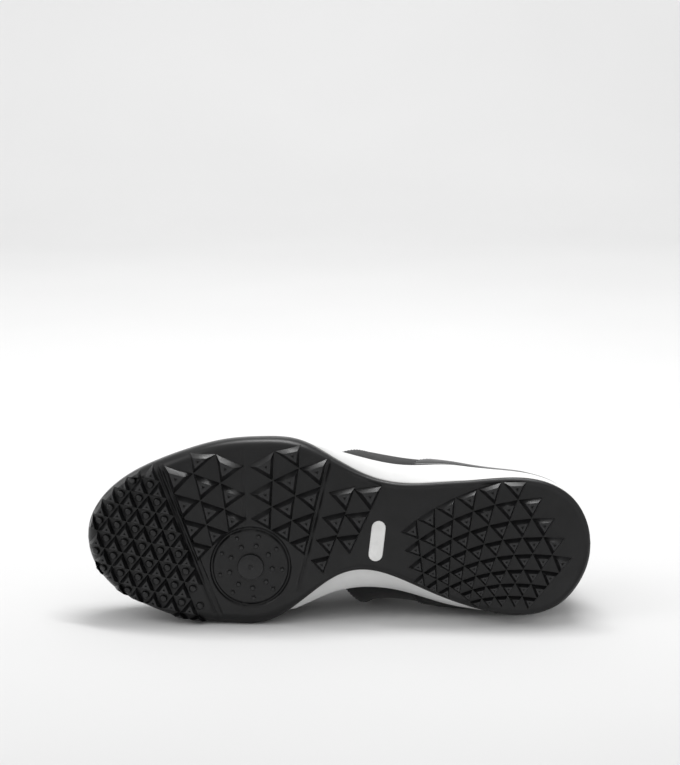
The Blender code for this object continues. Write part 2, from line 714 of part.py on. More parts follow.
def midsole_rings():
    turns = all_turns()
    own = before(SIDE_ENDS, turns)[:, None]
    cup = inset_loop(OUTSOLE_SHARE, turns, CUP_WALL + 2 * GAP)
    foot = inset_loop(OUTSOLE_SHARE, turns, SIDE_INSET)
    wide = inset_loop(MIDSOLE_SHARE, turns, 0.0)
    ledge = cup_ledge(turns)
    top = rim_top(turns)
    edge = mix(cup, wide, own)
    rise = side_rise(turns)
    side = mix(cup, mix(foot, wide, side_share(rise)[:, None]), own)
    rim = bite_loop(turns, 0.0)
    bed_edge = bed_loop(turns, 0.0002)
    return [
        ring(cup, floor_height(own_station(cup)) + GAP),
        ring(cup, ledge),
        ring(mix(cup, foot, own), ledge + 0.0001),
        ring(side, mix(ledge, top, rise)),
        ring(edge, top - 0.0004),
        ring(mix(edge, rim, 0.5), top),
        ring(rim, top - 0.0004),
        ring(bed_edge, bed_height(own_station(bed_edge))),
    ]


# Upper

def ray_table():
    rows = [HEEL_RAY] + list(LATERAL_RAYS) + [TOE_RAY] + list(MEDIAL_RAYS)
    turns = []
    for i, row in enumerate(rows):
        turns.append(turn_of(row[0], lateral=i <= len(LATERAL_RAYS) + 1))
    return around(turns, [row[1:] for row in rows])


RAYS = ray_table()


def upper_points(turns, climbs):
    """Outer skin of the upper at turns around it and climbs from the bite line 0 to the edge 1."""
    turns, climbs = np.broadcast_arrays(np.asarray(turns, dtype=float), np.asarray(climbs, dtype=float))
    shape = turns.shape
    turns = turns.ravel()
    r = climbs.ravel()[:, None]
    edge_x, edge_y, edge_z, flare, rise, lean, drop = RAYS(turns).T
    foot = ring(bite_loop(turns, GAP), np.maximum(rim_top(turns), cup_top(turns)) + 2 * GAP)
    edge = np.stack([edge_x * LENGTH, edge_y * BALL_WIDTH, edge_z * INSTEP_TOP], axis=1)
    normal = loop_normals(OUTSOLE_SHARE, turns)
    height = edge[:, 2] - foot[:, 2]
    low = foot + ring(normal * (flare * BALL_WIDTH)[:, None], rise * height)
    high = edge + ring(normal * (lean * BALL_WIDTH)[:, None], -drop * height)
    points = ((1 - r) ** 3 * foot + 3 * (1 - r) ** 2 * r * low
              + 3 * (1 - r) * r * r * high + r ** 3 * edge)
    return points.reshape(shape + (3,))


def upper_normals(turns, climbs):
    step = 1e-3
    around_skin = upper_points(np.asarray(turns) + step, climbs) - upper_points(np.asarray(turns) - step, climbs)
    up_skin = upper_points(turns, np.minimum(climbs + step, 1.0)) - upper_points(turns, np.maximum(climbs - step, 0.0))
    normals = np.cross(up_skin, around_skin)
    return normals / np.linalg.norm(normals, axis=-1)[..., None]


PADDED = (0.260, 0.345)   # stations over which the collar's padding ends
CLIMBS = (0.0, 0.12, 0.26, 0.41, 0.57, 0.73, 0.88, 1.0)


def make_upper(parts):
    turns = all_turns()
    rings = []
    for inset in (GAP + MARGIN, GAP):
        plan = bed_loop(turns, inset)
        rings.append(ring(plan, bed_height(own_station(plan)) + GAP))
    for climb in CLIMBS:
        rings.append(upper_points(turns, np.full(len(turns), climb)))
    bm = bmesh.new()
    loops = add_rings(bm, rings)
    upper = new_object("upper", bm, parts)
    padded = upper.vertex_groups.new(name="padded")
    for k, climb in enumerate(CLIMBS):
        for i, turn in enumerate(turns):
            share = float(smooth(0.5, 0.88, climb) * (1 - smooth(PADDED[0], PADDED[1], station_of(turn))))
            padded.add([(k + 2) * len(turns) + i], share, "REPLACE")
    shell = upper.modifiers.new("wall", "SOLIDIFY")
    shell.thickness = COLLAR_WALL
    shell.offset = -1.0
    shell.use_even_offset = True
    shell.vertex_group = "padded"
    shell.thickness_vertex_group = UPPER_WALL / COLLAR_WALL
    return upper


# Insole

def make_insole(parts):
    turns = all_turns()
    inner = UPPER_WALL + INSOLE_CLEAR
    edge_rise = 0.0030
    # inset from the upper's foot and height above the insole's underside
    rows = ((inner + 0.0012, 0.0), (inner, 0.0010), (inner + 0.0002, INSOLE + edge_rise - 0.0006),
            (inner + 0.0012, INSOLE + edge_rise), (inner + 0.0090, INSOLE))
    rings = []
    for inset, height in rows:
        plan = bed_loop(turns, GAP + inset)
        under = bed_height(own_station(plan)) + UPPER_WALL + 3 * GAP
        rings.append(ring(plan, under + height))
    return loft_rings("insole", rings, parts)


# The instep as a height over the plan, for tongue and laces

def dense_skin():
    turns, climbs = np.meshgrid(np.arange(320) / 160, np.linspace(0.15, 1.0, 70), indexing="ij")
    points = upper_points(turns, climbs)
    normals = upper_normals(turns, climbs)
    facing = normals[..., 2] > 0.15
    return points[facing], normals[facing]


def throat_edges():
    """Lateral and medial edge of the throat as x, y, z rows with x falling from front to top."""
    turns = np.linspace(turn_of(THROAT_TOP), 1.0, 120)
    lateral = upper_points(turns, np.ones(len(turns)))
    medial = upper_points(2 - turns, np.ones(len(turns)))
    return lateral, medial


THROAT_TOP = 0.430        # station of the rays at the top eyelets


class Instep:
    """Heights of the closed instep, with the throat bridged from edge to edge."""

    def __init__(self):
        self.points, self.normals = dense_skin()
        self.edges = throat_edges()
        self.front = float(self.edges[0][:, 0].max())
        self.top = float(max(self.edges[0][0, 0], self.edges[1][0, 0]))

    def skin(self, x, y):
        near = np.argmin((self.points[:, 0] - x) ** 2 + (self.points[:, 1] - y) ** 2)
        spot = self.points[near]
        normal = self.normals[near]
        return float(spot[2] - (normal[0] * (x - spot[0]) + normal[1] * (y - spot[1])) / normal[2])

    def height(self, x, y):
        if x > self.front - 0.002:
            return self.skin(x, y)
        ends = []
        for edge, outward in zip(self.edges, (1, -1)):
            order = np.argsort(edge[:, 0])
            edge_y = float(np.interp(x, edge[order, 0], edge[order, 1]))
            edge_z = float(np.interp(x, edge[order, 0], edge[order, 2]))
            probe = 0.003 * outward
            slope = (self.skin(x, edge_y + probe) - edge_z) / probe
            ends.append((edge_y, edge_z, float(np.clip(slope, -0.9, 0.9))))
        (y1, z1, m1), (y0, z0, m0) = ends
        if y > y1 or y < y0:
            return self.skin(x, y)
        h = y1 - y0
        s = (y - y0) / h
        return ((1 + 2 * s) * (1 - s) ** 2 * z0 + s * (1 - s) ** 2 * h * m0
                + s * s * (3 - 2 * s) * z1 + s * s * (s - 1) * h * m1)

    def place(self, x, y, lift):
        """Point over the plan spot, moved along the surface normal by the lift."""
        step = 0.002
        here = self.height(x, y)
        slope_x = (self.height(x + step, y) - self.height(x - step, y)) / (2 * step)
        slope_y = (self.height(x, y + step) - self.height(x, y - step)) / (2 * step)
        normal = np.array((-slope_x, -slope_y, 1.0))
        return np.array((x, y, here)) + normal / np.linalg.norm(normal) * lift


# Tongue

TONGUE_FRONT = 0.700      # station of its hidden front end under the vamp
TONGUE_CLEAR = 0.0012     # under the upper, whose inside is faceted too
TONGUE_ROWS = 12
# Half width of the tongue from its front end to the top eyelets, as shares of TONGUE_WIDTH / 2
TONGUE_PLAN = ((0.0, 0.62), (0.5, 0.92), (0.8, 0.80), (1.0, 0.58))
TONGUE_COLUMNS = 8
TONGUE_TAPER = 0.22       # how much narrower its free end is than at the top eyelets


def make_tongue(parts, instep):
    """A padded sheet under the throat, from under the vamp to above the top eyelets."""
    lift = -(UPPER_WALL + TONGUE_CLEAR)
    front = TONGUE_FRONT * LENGTH
    half_width = along(TONGUE_PLAN, 1)
    rows = []
    for k in range(TONGUE_ROWS):
        share = k / (TONGUE_ROWS - 1)
        x = front + (instep.top - front) * share
        half = TONGUE_WIDTH / 2 * float(half_width(share))
        middle = float(np.mean([np.interp(x, edge[::-1, 0], edge[::-1, 1]) for edge in instep.edges]))
        row = []
        for c in range(TONGUE_COLUMNS + 1):
            y = middle + half * (2 * c / TONGUE_COLUMNS - 1)
            row.append(instep.place(x, y, lift))
        rows.append(row)
    rise = np.array(rows[-1]) - np.array(rows[-2])
    rise = rise / np.linalg.norm(rise, axis=1)[:, None]
    for share in (0.4, 0.8, 1.0):
        shrink = 1 - TONGUE_TAPER * share
        last = np.array(rows[TONGUE_ROWS - 1]) + rise * TONGUE_RISE * share
        centre = last.mean(axis=0)
        last[:, 1] = centre[1] + (last[:, 1] - centre[1]) * shrink
        rows.append(last)
    bm = bmesh.new()
    grid = [[bm.verts.new(point) for point in row] for row in rows]
    for low, high in zip(grid, grid[1:]):
        for i in range(TONGUE_COLUMNS):
            bm.faces.new((low[i], low[i + 1], high[i + 1], high[i]))
    tongue = new_object("tongue", bm, parts)
    if tongue.data.polygons[0].normal.z < 0:
        tongue.data.flip_normals()
    shell = tongue.modifiers.new("wall", "SOLIDIFY")
    shell.thickness = TONGUE_WALL
    shell.offset = -1.0
    shell.use_even_offset = True
    return tongue


# Overlays

EYESTAY_WIDTH = 0.0155
EYESTAY_TOP = 0.405       # station of the eyestay's top end
QUARTER_FRONT = (0.497, 0.462)     # stations of the quarter's front edge, low and high
COUNTER_FRONT = (0.345, 0.300)
OVERLAY_FOOT = 0.045      # climb of the overlays' lower edge


def ray_length(turns):
    climbs = np.linspace(0, 1, 12)
    points = np.array([upper_points(turns, np.full(len(turns), climb)) for climb in climbs])
    return np.linalg.norm(np.diff(points, axis=0), axis=2).sum(axis=0)


def band_climb(turns):
    return 1 - EYESTAY_WIDTH / ray_length(turns)


def quarter_top(turns):
    station = station_of(turns)
    return mix(0.90, band_climb(turns) - 0.025, smooth(EYESTAY_TOP - 0.12, EYESTAY_TOP - 0.045, station))


def counter_top(turns):
    return mix(0.62, 0.46, smooth(0.02, 0.33, station_of(turns)))


def make_patch(name, parts, grid, lift, thickness):
    """A layer over the upper. The grid holds turn and climb for each of its points."""
    turns = np.array([[point[0] for point in row] for row in grid])
    climbs = np.array([[point[1] for point in row] for row in grid])
    points = upper_points(turns, climbs) + upper_normals(turns, climbs) * lift
    bm = bmesh.new()
    verts = [[bm.verts.new(point) for point in row] for row in points]
    for low, high in zip(verts, verts[1:]):
        for i in range(len(low) - 1):
            bm.faces.new((low[i], low[i + 1], high[i + 1], high[i]))
    patch = new_object(name, bm, parts)
    face = patch.data.polygons[0]
    outward = upper_normals(turns[:1, 0], climbs[:1, 0])[0]
    if face.normal.dot(Vector(outward)) < 0:
        patch.data.flip_normals()
    shell = patch.modifiers.new("wall", "SOLIDIFY")
    shell.thickness = thickness
    shell.offset = 1.0
    shell.use_even_offset = True
    return patch


def own_turns(low, high):
    """The upper's own stations between two turns, so that a layer's facets follow the upper's."""
    first = math.ceil(low * STEPS + 0.3)
    last = math.floor(high * STEPS - 0.3)
    return [k / STEPS for k in range(first, last + 1)]


def wrap_grid(front, top, foot):
    """Turn and climb grid round the heel, between a slanted front edge on each side and a top line.

    Its rows and columns lie on the upper's own, so that the layer's facets follow the upper's."""
    reach = [turn_of(station) for station in front]
    columns = own_turns(-min(reach), min(reach))
    lowest_top = min(float(top(np.array([turn]))[0]) for turn in columns)
    climbs = [foot] + [climb for climb in CLIMBS if foot + 0.03 < climb < lowest_top - 0.03]
    grid = []
    for r in range(len(climbs) + 1):
        edge = mix(reach[0], reach[1], r / len(climbs))
        line = []
        for turn in [-edge] + columns + [edge]:
            climb = climbs[r] if r < len(climbs) else float(top(np.array([turn]))[0])
            line.append((turn, climb))
        grid.append(line)
    return grid


def make_overlays(parts):
    quarter = make_patch("quarter", parts, wrap_grid(QUARTER_FRONT, quarter_top, OVERLAY_FOOT),
                         LAYER_GAP, OVERLAY)
    counter = make_patch("heel_counter", parts,
                         wrap_grid(COUNTER_FRONT, counter_top, OVERLAY_FOOT + 0.02),
                         LAYER_GAP + OVERLAY + GAP, OVERLAY)
    start = turn_of(EYESTAY_TOP)
    turns = np.array([start] + own_turns(start, 2 - start) + [2 - start])
    low = band_climb(turns)
    grid = [[(turn, mix(foot, 0.992, row / 2)) for turn, foot in zip(turns, low)] for row in range(3)]
    eyestay = make_patch("eyestay", parts, grid, LAYER_GAP, OVERLAY)
    return quarter, counter, eyestay


# Eyelets and laces

EYELET_INSET = 0.0075     # eyelet centres from the throat's edge
EYELET_RUN = (0.410, 0.635)        # x of the top and front eyelets (LENGTH)


def eyelet_spots(instep):
    """Centre and outward direction of each eyelet, front to top, lateral and medial."""
    rows = []
    for medial in (False, True):
        turns = np.linspace(turn_of(THROAT_TOP - 0.02), 1.0, 200)
        if medial:
            turns = 2 - turns
        edge = upper_points(turns, np.ones(len(turns)))
        row = []
        for k in range(EYELETS):
            x = LENGTH * mix(EYELET_RUN[1], EYELET_RUN[0], k / (EYELETS - 1))
            turn = np.array([turns[np.argmin(np.abs(edge[:, 0] - x))]])
            climb = 1 - EYELET_INSET / ray_length(turn)
            row.append((upper_points(turn, climb)[0], upper_normals(turn, climb)[0]))
        rows.append(row)
    return rows


def make_eyelet_pins(spots, cutters):
    bm = bmesh.new()
    for row in spots:
        for centre, normal in row:
            turn = Vector((0, 0, 1)).rotation_difference(Vector(normal)).to_matrix().to_4x4()
            bmesh.ops.create_cone(bm, cap_ends=True, segments=6, radius1=EYELET_DIAMETER / 2,
                                  radius2=EYELET_DIAMETER / 2, depth=0.010,
                                  matrix=Matrix.Translation(Vector(centre)) @ turn)
    return make_guide(new_object("eyelet_pins", bm, cutters))


LACE_CLEAR = 0.0022       # under the strands, which bridge the instep's curve in straight steps


class Strand:
    """A flat strand in plan, from one eyelet to another."""

    def __init__(self, start, end):
        self.start = np.array(start)
        self.ahead = (np.array(end) - self.start) / np.linalg.norm(np.array(end) - self.start)
        self.across = np.array((-self.ahead[1], self.ahead[0]))

    def side_of(self, point):
        return 1 if np.dot(point - self.start, self.across) > 0 else -1

    def edge(self, side):
        return self.start + self.across * side * LACE_WIDTH / 2

    def meet(self, side, other, other_side):
        """Where an edge of this strand crosses an edge of another one."""
        offset = other.edge(other_side) - self.edge(side)
        ahead = np.cross(offset, other.ahead) / np.cross(self.ahead, other.ahead)
        return self.edge(side) + self.ahead * ahead

    def beside(self, point, side):
        """The point of an edge that lies beside a point of the strand."""
        reach = np.dot(point - self.start, self.ahead)
        return self.edge(side) + self.ahead * reach


def middle_cross(one, other):
    corners = [one.meet(a, other, b) for a in (-1, 1) for b in (-1, 1)]
    return np.mean(corners, axis=0)


def lace_faces(lateral, medial):
    """Plan outlines of the flat net: crossings, arms from them to the eyelets, and eyelet ends."""
    faces = []
    inward = [Strand(a, b) for a, b in zip(lateral, medial[1:])]
    outward = [Strand(a, b) for a, b in zip(medial, lateral[1:])]
    bar = Strand(lateral[0], medial[0])
    arms = {}
    for k, (one, other) in enumerate(zip(inward, outward)):
        cross = middle_cross(one, other)
        corner = {(a, b): one.meet(a, other, b) for a in (-1, 1) for b in (-1, 1)}
        loop = [corner[(-1, -1)], corner[(1, -1)], corner[(1, 1)], corner[(-1, 1)]]
        for i in range(4):
            faces.append((cross, loop[i], loop[(i + 1) % 4]))
        for strand, eyelet, key in ((one, lateral[k], ("lateral", k)), (one, medial[k + 1], ("medial", k + 1)),
                                    (other, medial[k], ("medial", k)), (other, lateral[k + 1], ("lateral", k + 1))):
            beyond = (other if strand is one else one)
            near = beyond.side_of(eyelet)
            ends = [corner[(a, near)] if strand is one else corner[(near, a)] for a in (-1, 1)]
            arms.setdefault(key, []).append((strand, cross, ends))
    for row, name in ((lateral, "lateral"), (medial, "medial")):
        arms[(name, 0)].append((bar, np.mean([lateral[0], medial[0]], axis=0), None))
    bar_ends = []
    for (name, k), here in arms.items():
        eyelet = (lateral if name == "lateral" else medial)[k]
        outer = 1 if name == "lateral" else -1
        if len(here) == 1:
            strand, cross, ends = here[0]
            tips = [strand.beside(eyelet, side) for side in (-1, 1)]
            faces.append((ends[0], ends[1], tips[1], tips[0]))
            continue
        (one, one_far, one_ends), (two, two_far, two_ends) = here
        one_side = one.side_of(two_far)
        two_side = two.side_of(one_far)
        crotch = one.meet(one_side, two, two_side)
        one_tip = one.beside(eyelet, -one_side)
        two_tip = two.beside(eyelet, -two_side)
        tip = eyelet + np.array((0.0, outer * LACE_WIDTH / 2))
        for pair in ((crotch, one_tip), (one_tip, tip), (tip, two_tip), (two_tip, crotch)):
            faces.append((eyelet,) + pair)
        for ends, side, end_tip in ((one_ends, one_side, one_tip), (two_ends, two_side, two_tip)):
            if ends is None:
                bar_ends += [crotch, end_tip]
            else:
                low, high = (crotch, end_tip) if side < 0 else (end_tip, crotch)
                faces.append((ends[0], ends[1], high, low))
    middle = [(bar_ends[0] + bar_ends[2]) / 2, (bar_ends[1] + bar_ends[3]) / 2]
    faces.append((bar_ends[0], middle[0], middle[1], bar_ends[1]))
    faces.append((middle[0], bar_ends[2], bar_ends[3], middle[1]))
    return faces


def make_laces(parts, instep, spots):
    """Crossed strands from the front eyelets to the top ones, one flat net laid over the instep."""
    lateral, medial = [[centre[:2] for centre, normal in row] for row in spots]
    lift = OVERLAY + GAP + LACE_CLEAR
    bm = bmesh.new()
    made = {}
    for outline in lace_faces(lateral, medial):
        corners = []
        for x, y in outline:
            key = (round(x, 7), round(y, 7))
            if key not in made:
                made[key] = bm.verts.new(instep.place(x, y, lift))
            corners.append(made[key])
        bm.faces.new(corners)
    laces = new_object("lace_crossings", bm, parts)
    if laces.data.polygons[0].normal.z < 0:
        laces.data.flip_normals()
    shell = laces.modifiers.new("strand", "SOLIDIFY")
    shell.thickness = LACE_THICK
    shell.offset = 1.0
    return laces


# Materials

def material(name, colour, roughness):
    made = bpy.data.materials.new(name)
    made.use_nodes = True
    shader = made.node_tree.nodes["Principled BSDF"]
    shader.inputs["Base Color"].default_value = (*colour, 1.0)
    shader.inputs["Roughness"].default_value = roughness
    shader.inputs["Metallic"].default_value = 0.0
    return made


# Colour, roughness and density in kilograms a cubic metre of each piece
FINISHES = {
    "outsole": ((0.018, 0.018, 0.020), 0.45, 1100),
    "sole_inlay": ((0.85, 0.85, 0.84), 0.55, 1100),
    "midsole": ((0.86, 0.86, 0.85), 0.60, 180),
    "insole": ((0.05, 0.05, 0.055), 0.90, 200),
    "upper": ((0.022, 0.022, 0.024), 0.38, 600),
    "tongue": ((0.025, 0.025, 0.027), 0.80, 350),
    "quarter": ((0.016, 0.016, 0.017), 0.60, 900),
    "heel_counter": ((0.018, 0.018, 0.020), 0.45, 900),
    "eyestay": ((0.018, 0.018, 0.020), 0.50, 900),
    "lace_crossings": ((0.020, 0.020, 0.022), 0.85, 700),
}


# Rest on the medial side

def evaluated_mesh(piece):
    graph = bpy.context.evaluated_depsgraph_get()
    bm = bmesh.new()
    bm.from_mesh(piece.evaluated_get(graph).to_mesh())
    bmesh.ops.triangulate(bm, faces=bm.faces)
    return bm


def mass_centre(meshes):
    """Centre of mass of the pieces, from signed tetrahedra and each piece's density."""
    total = 0.0
    moment = Vector((0, 0, 0))
    for name, bm in meshes.items():
        density = FINISHES[name][2]
        for face in bm.faces:
            a, b, c = [vert.co for vert in face.verts]
            mass = density * a.dot(b.cross(c)) / 6
            total += mass
            moment += mass * (a + b + c) / 4
    return moment / total


def rest_matrix(meshes):
    """Lays the shoe on the facet of its hull that is under its centre of mass on the medial side."""
    centre = mass_centre(meshes)
    hull = bmesh.new()
    for bm in meshes.values():
        for vert in bm.verts:
            hull.verts.new(vert.co)
    made = bmesh.ops.convex_hull(hull, input=hull.verts)
    facets = [item for item in made["geom"] if isinstance(item, bmesh.types.BMFace)]
    down = None
    for facet in facets:
        corners = [vert.co for vert in facet.verts]
        normal = (corners[1] - corners[0]).cross(corners[2] - corners[0]).normalized()
        if normal.dot(corners[0] - centre) < 0:
            normal = -normal
        if normal.y > -0.8:
            continue
        foot = centre + normal * normal.dot(corners[0] - centre)
        turns = [(corners[(i + 1) % 3] - corners[i]).cross(foot - corners[i]).dot(normal) for i in range(3)]
        if min(turns) >= 0 or max(turns) <= 0:
            down = normal
    up = -down
    side = (Vector((-1, 0, 0)) - up * up.dot(Vector((-1, 0, 0)))).normalized()
    away = up.cross(side)
    turn = Matrix((side, away, up))
    placed = [turn @ vert.co for vert in hull.verts]
    low = Vector([min(point[i] for point in placed) for i in range(3)])
    high = Vector([max(point[i] for point in placed) for i in range(3)])
    hull.free()
    shift = Vector((-(low.x + high.x) / 2, -(low.y + high.y) / 2, -low.z))
    return Matrix.Translation(shift) @ turn.to_4x4()


def main():
    for old in list(bpy.data.objects):
        bpy.data.objects.remove(old, do_unlink=True)
    parts = bpy.data.collections.new("turf_shoe")
    cutters = bpy.data.collections.new("cutters")
    bpy.context.scene.collection.children.link(parts)
    bpy.context.scene.collection.children.link(cutters)
    make_outsole(parts, cutters)
    make_inlay(parts)
    midsole = loft_rings("midsole", midsole_rings(), parts)
    # The rim's facets are split along the same diagonals as the upper's foot inside it
    facets = midsole.modifiers.new("facets", "TRIANGULATE")
    facets.quad_method = "FIXED_ALTERNATE"
    make_insole(parts)
    instep = Instep()
    spots = eyelet_spots(instep)
    pins = make_eyelet_pins(spots, cutters)
    upper = make_upper(parts)
    quarter, counter, eyestay = make_overlays(parts)
    add_boolean(upper, pins, "DIFFERENCE")
    add_boolean(eyestay, pins, "DIFFERENCE")
    make_tongue(parts, instep)
    make_laces(parts, instep, spots)
    for piece in parts.objects:
        colour, roughness, density = FINISHES[piece.name]
        piece.data.materials.append(material(piece.name, colour, roughness))
    meshes = {piece.name: evaluated_mesh(piece) for piece in parts.objects}
    matrix = rest_matrix(meshes)
    for bm in meshes.values():
        bm.free()
    stand = bpy.data.objects.new("stand", None)
    parts.objects.link(stand)
    stand.matrix_world = matrix
    for piece in list(parts.objects) + list(cutters.objects):
        if piece is not stand:
            piece.parent = stand


main()
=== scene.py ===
"""Looks of the turf shoe, lying on its medial side with the sole toward the camera.

The shoe's functions and sizes are the part's own, in its standing frame (x from heel to toe, y to the
lateral side, z up from the ground). STAND lays that frame down in the row frame.
"""
import math

import bmesh
import bpy
import numpy as np
from mathutils import Matrix, Vector
from mathutils.kdtree import KDTree

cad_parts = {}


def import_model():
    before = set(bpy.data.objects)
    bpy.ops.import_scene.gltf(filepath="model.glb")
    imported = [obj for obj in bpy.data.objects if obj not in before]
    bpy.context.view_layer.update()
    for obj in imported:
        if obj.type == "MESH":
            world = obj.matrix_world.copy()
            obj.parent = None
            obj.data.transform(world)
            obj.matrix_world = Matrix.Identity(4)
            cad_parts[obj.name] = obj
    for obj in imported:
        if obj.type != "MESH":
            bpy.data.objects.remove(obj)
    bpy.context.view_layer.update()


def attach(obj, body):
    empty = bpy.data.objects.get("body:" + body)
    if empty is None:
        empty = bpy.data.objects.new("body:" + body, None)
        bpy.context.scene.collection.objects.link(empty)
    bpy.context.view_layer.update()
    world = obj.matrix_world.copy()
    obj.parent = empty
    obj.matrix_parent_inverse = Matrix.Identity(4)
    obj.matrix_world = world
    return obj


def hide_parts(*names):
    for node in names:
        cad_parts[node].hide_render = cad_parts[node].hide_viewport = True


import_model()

# The standing frame in the row frame, one row for each of X, Y and Z
STAND = np.array((
    (-0.9996811, -0.0252217, 0.0012701, 0.1432037),
    (0.0, 0.0502936, 0.9987344, -0.0564553),
    (-0.0252536, 0.9984159, -0.0502776, 0.0514885),
))

# Driving sizes in metres
LENGTH = 0.288            # outsole, heel to toe
BALL_WIDTH = 0.107        # outsole across the ball
HEEL_WIDTH = 0.080        # outsole across the heel
INSTEP_TOP = 0.109        # ground to the top of the eyestays
LUG_HEIGHT = 0.0040
PLATE = 0.0032            # rubber between the lugs
CUP_HEIGHT = 0.0105       # forefoot wall of the outsole above its floor
CUP_WALL = 0.0024         # thickness of that wall
RIM_INSIDE = 0.0014       # midsole rim between the cup's wall and the upper
TOE_SPRING = 0.0150
WAIST_LIFT = 0.0028       # waist of the sole above the ground plane
HEEL_BEVEL = 0.0026
MIDSOLE_HEEL = 0.0125     # foam under the heel
MIDSOLE_BALL = 0.0042     # foam under the ball
RIM_HEIGHT = 0.0050       # midsole rim above the foot bed
RIM_WALL = 0.0024
SIDE_INSET = 0.0004       # midsole's side from the outsole's edge, where it starts
SIDE_BULGE = 0.45         # swell of that side between the outsole's edge and the rim
UPPER_WALL = 0.0022
COLLAR_WALL = 0.0050      # padded wall at the collar
MARGIN = 0.0080           # upper turned in under the insole
INSOLE = 0.0036
INSOLE_CLEAR = 0.0012     # between the insole and the wall of the upper
TONGUE_WALL = 0.0040
TONGUE_WIDTH = 0.050
TONGUE_RISE = 0.017       # tongue above the top eyelets
OVERLAY = 0.0012          # quarter, eyestay and counter layers
LAYER_GAP = 0.0006        # under those layers, whose facets cross the upper's
GAP = 0.0003              # between pieces that touch
DISC_DIAMETER = 0.0465    # pivot disc under the ball of the foot
DISC_GROOVE = 0.0022
GROOVE_DEPTH = 0.0016
HUB_DIAMETER = 0.0150
EYELETS = 6               # in each row
EYELET_DIAMETER = 0.0044
LACE_WIDTH = 0.0056
LACE_THICK = 0.0013


# Plan of the sole. Station as a share of LENGTH, half widths as shares of the local width:
# station, outsole lateral, outsole medial, midsole lateral, midsole medial
PLAN = (
    (0.000, -0.050, -0.050, -0.050, -0.050),
    (0.020, 0.213, -0.311, 0.203, -0.306),
    (0.060, 0.356, -0.472, 0.344, -0.469),
    (0.120, 0.431, -0.551, 0.429, -0.556),
    (0.200, 0.434, -0.532, 0.471, -0.572),
    (0.280, 0.402, -0.421, 0.489, -0.501),
    (0.360, 0.352, -0.263, 0.441, -0.366),
    (0.440, 0.369, -0.160, 0.443, -0.287),
    (0.500, 0.445, -0.179, 0.480, -0.290),
    (0.560, 0.538, -0.285, 0.534, -0.345),
    (0.640, 0.572, -0.419, 0.566, -0.415),
    (0.720, 0.561, -0.426, 0.555, -0.421),
    (0.800, 0.507, -0.406, 0.501, -0.401),
    (0.880, 0.422, -0.336, 0.417, -0.331),
    (0.940, 0.321, -0.257, 0.317, -0.253),
    (0.980, 0.206, -0.148, 0.202, -0.144),
    (1.000, 0.033, 0.033, 0.033, 0.033),
)

# Heights along the sole, each a share of the size in its name:
# station, spring (TOE_SPRING), lift (WAIST_LIFT), bevel (HEEL_BEVEL), foam (ball 0 to heel 1),
# cup lateral, cup medial (CUP_HEIGHT), rim lateral, rim medial (RIM_HEIGHT)
LEVELS = (
    (0.00, 0.00, 0.0, 1.00, 1.00, 0.00, 0.00, 1.30, 1.30),
    (0.08, 0.00, 0.0, 0.00, 1.00, 0.00, 0.00, 1.20, 1.20),
    (0.24, 0.00, 0.4, 0.00, 0.95, 0.00, 0.00, 1.00, 1.30),
    (0.40, 0.00, 1.0, 0.00, 0.62, 0.03, 0.02, 1.10, 1.90),
    (0.48, 0.00, 0.9, 0.00, 0.38, 0.35, 0.16, 1.20, 1.80),
    (0.56, 0.00, 0.4, 0.00, 0.14, 0.88, 0.55, 1.30, 1.50),
    (0.64, 0.00, 0.0, 0.00, 0.00, 1.00, 0.95, 1.00, 1.00),
    (0.74, 0.03, 0.0, 0.00, 0.00, 1.00, 1.00, 1.00, 1.00),
    (0.84, 0.22, 0.0, 0.00, 0.00, 1.02, 1.02, 1.00, 1.00),
    (0.94, 0.68, 0.0, 0.00, 0.00, 1.15, 1.15, 1.00, 1.00),
    (1.00, 1.00, 0.0, 0.00, 0.00, 1.25, 1.25, 1.00, 1.00),
)

# Stations over which the midsole's side goes inside the cup, over which its rim sinks below the cup's
# edge, and over which the upper's foot leaves the midsole's outline for the cup's, with how much further
# to the toe each lies on the medial side.
SIDE_ENDS = (0.545, 0.600, 0.040)
RIM_SINKS = (0.620, 0.680, 0.040)
RIM_HOLDS = (0.470, 0.520, 0.005)

# Sections of the last from the bite line to the top edge, one row for each ray, heel to toe:
# station at the sole, edge x (LENGTH), edge y (BALL_WIDTH), edge z (INSTEP_TOP), then the handles of
# the ray's curve: flare and lean outward (BALL_WIDTH), rise and drop (height of the ray)
LATERAL_RAYS = (
    (0.020, 0.048, 0.068, 0.820, 0.00, 0.35, 0.00, 0.35),
    (0.060, 0.075, 0.142, 0.800, 0.00, 0.35, 0.00, 0.35),
    (0.120, 0.125, 0.218, 0.722, 0.00, 0.35, 0.00, 0.35),
    (0.200, 0.200, 0.243, 0.622, 0.00, 0.35, 0.02, 0.30),
    (0.280, 0.275, 0.235, 0.650, 0.04, 0.35, 0.07, 0.30),
    (0.360, 0.345, 0.185, 0.835, 0.070, 0.36, 0.12, 0.25),
    (0.430, 0.390, 0.138, 0.975, 0.075, 0.36, 0.15, 0.20),
    (0.500, 0.437, 0.126, 0.925, 0.06, 0.38, 0.17, 0.15),
    (0.580, 0.492, 0.125, 0.855, 0.00, 0.42, 0.19, 0.12),
    (0.660, 0.545, 0.122, 0.786, 0.00, 0.42, 0.20, 0.10),
    (0.760, 0.595, 0.115, 0.722, 0.00, 0.45, 0.21, 0.12),
    (0.860, 0.635, 0.095, 0.670, 0.01, 0.50, 0.25, 0.18),
    (0.950, 0.658, 0.055, 0.638, 0.03, 0.52, 0.29, 0.32),
)
TOE_RAY = (1.000, 0.665, 0.015, 0.628, 0.04, 0.52, 0.32, 0.38)
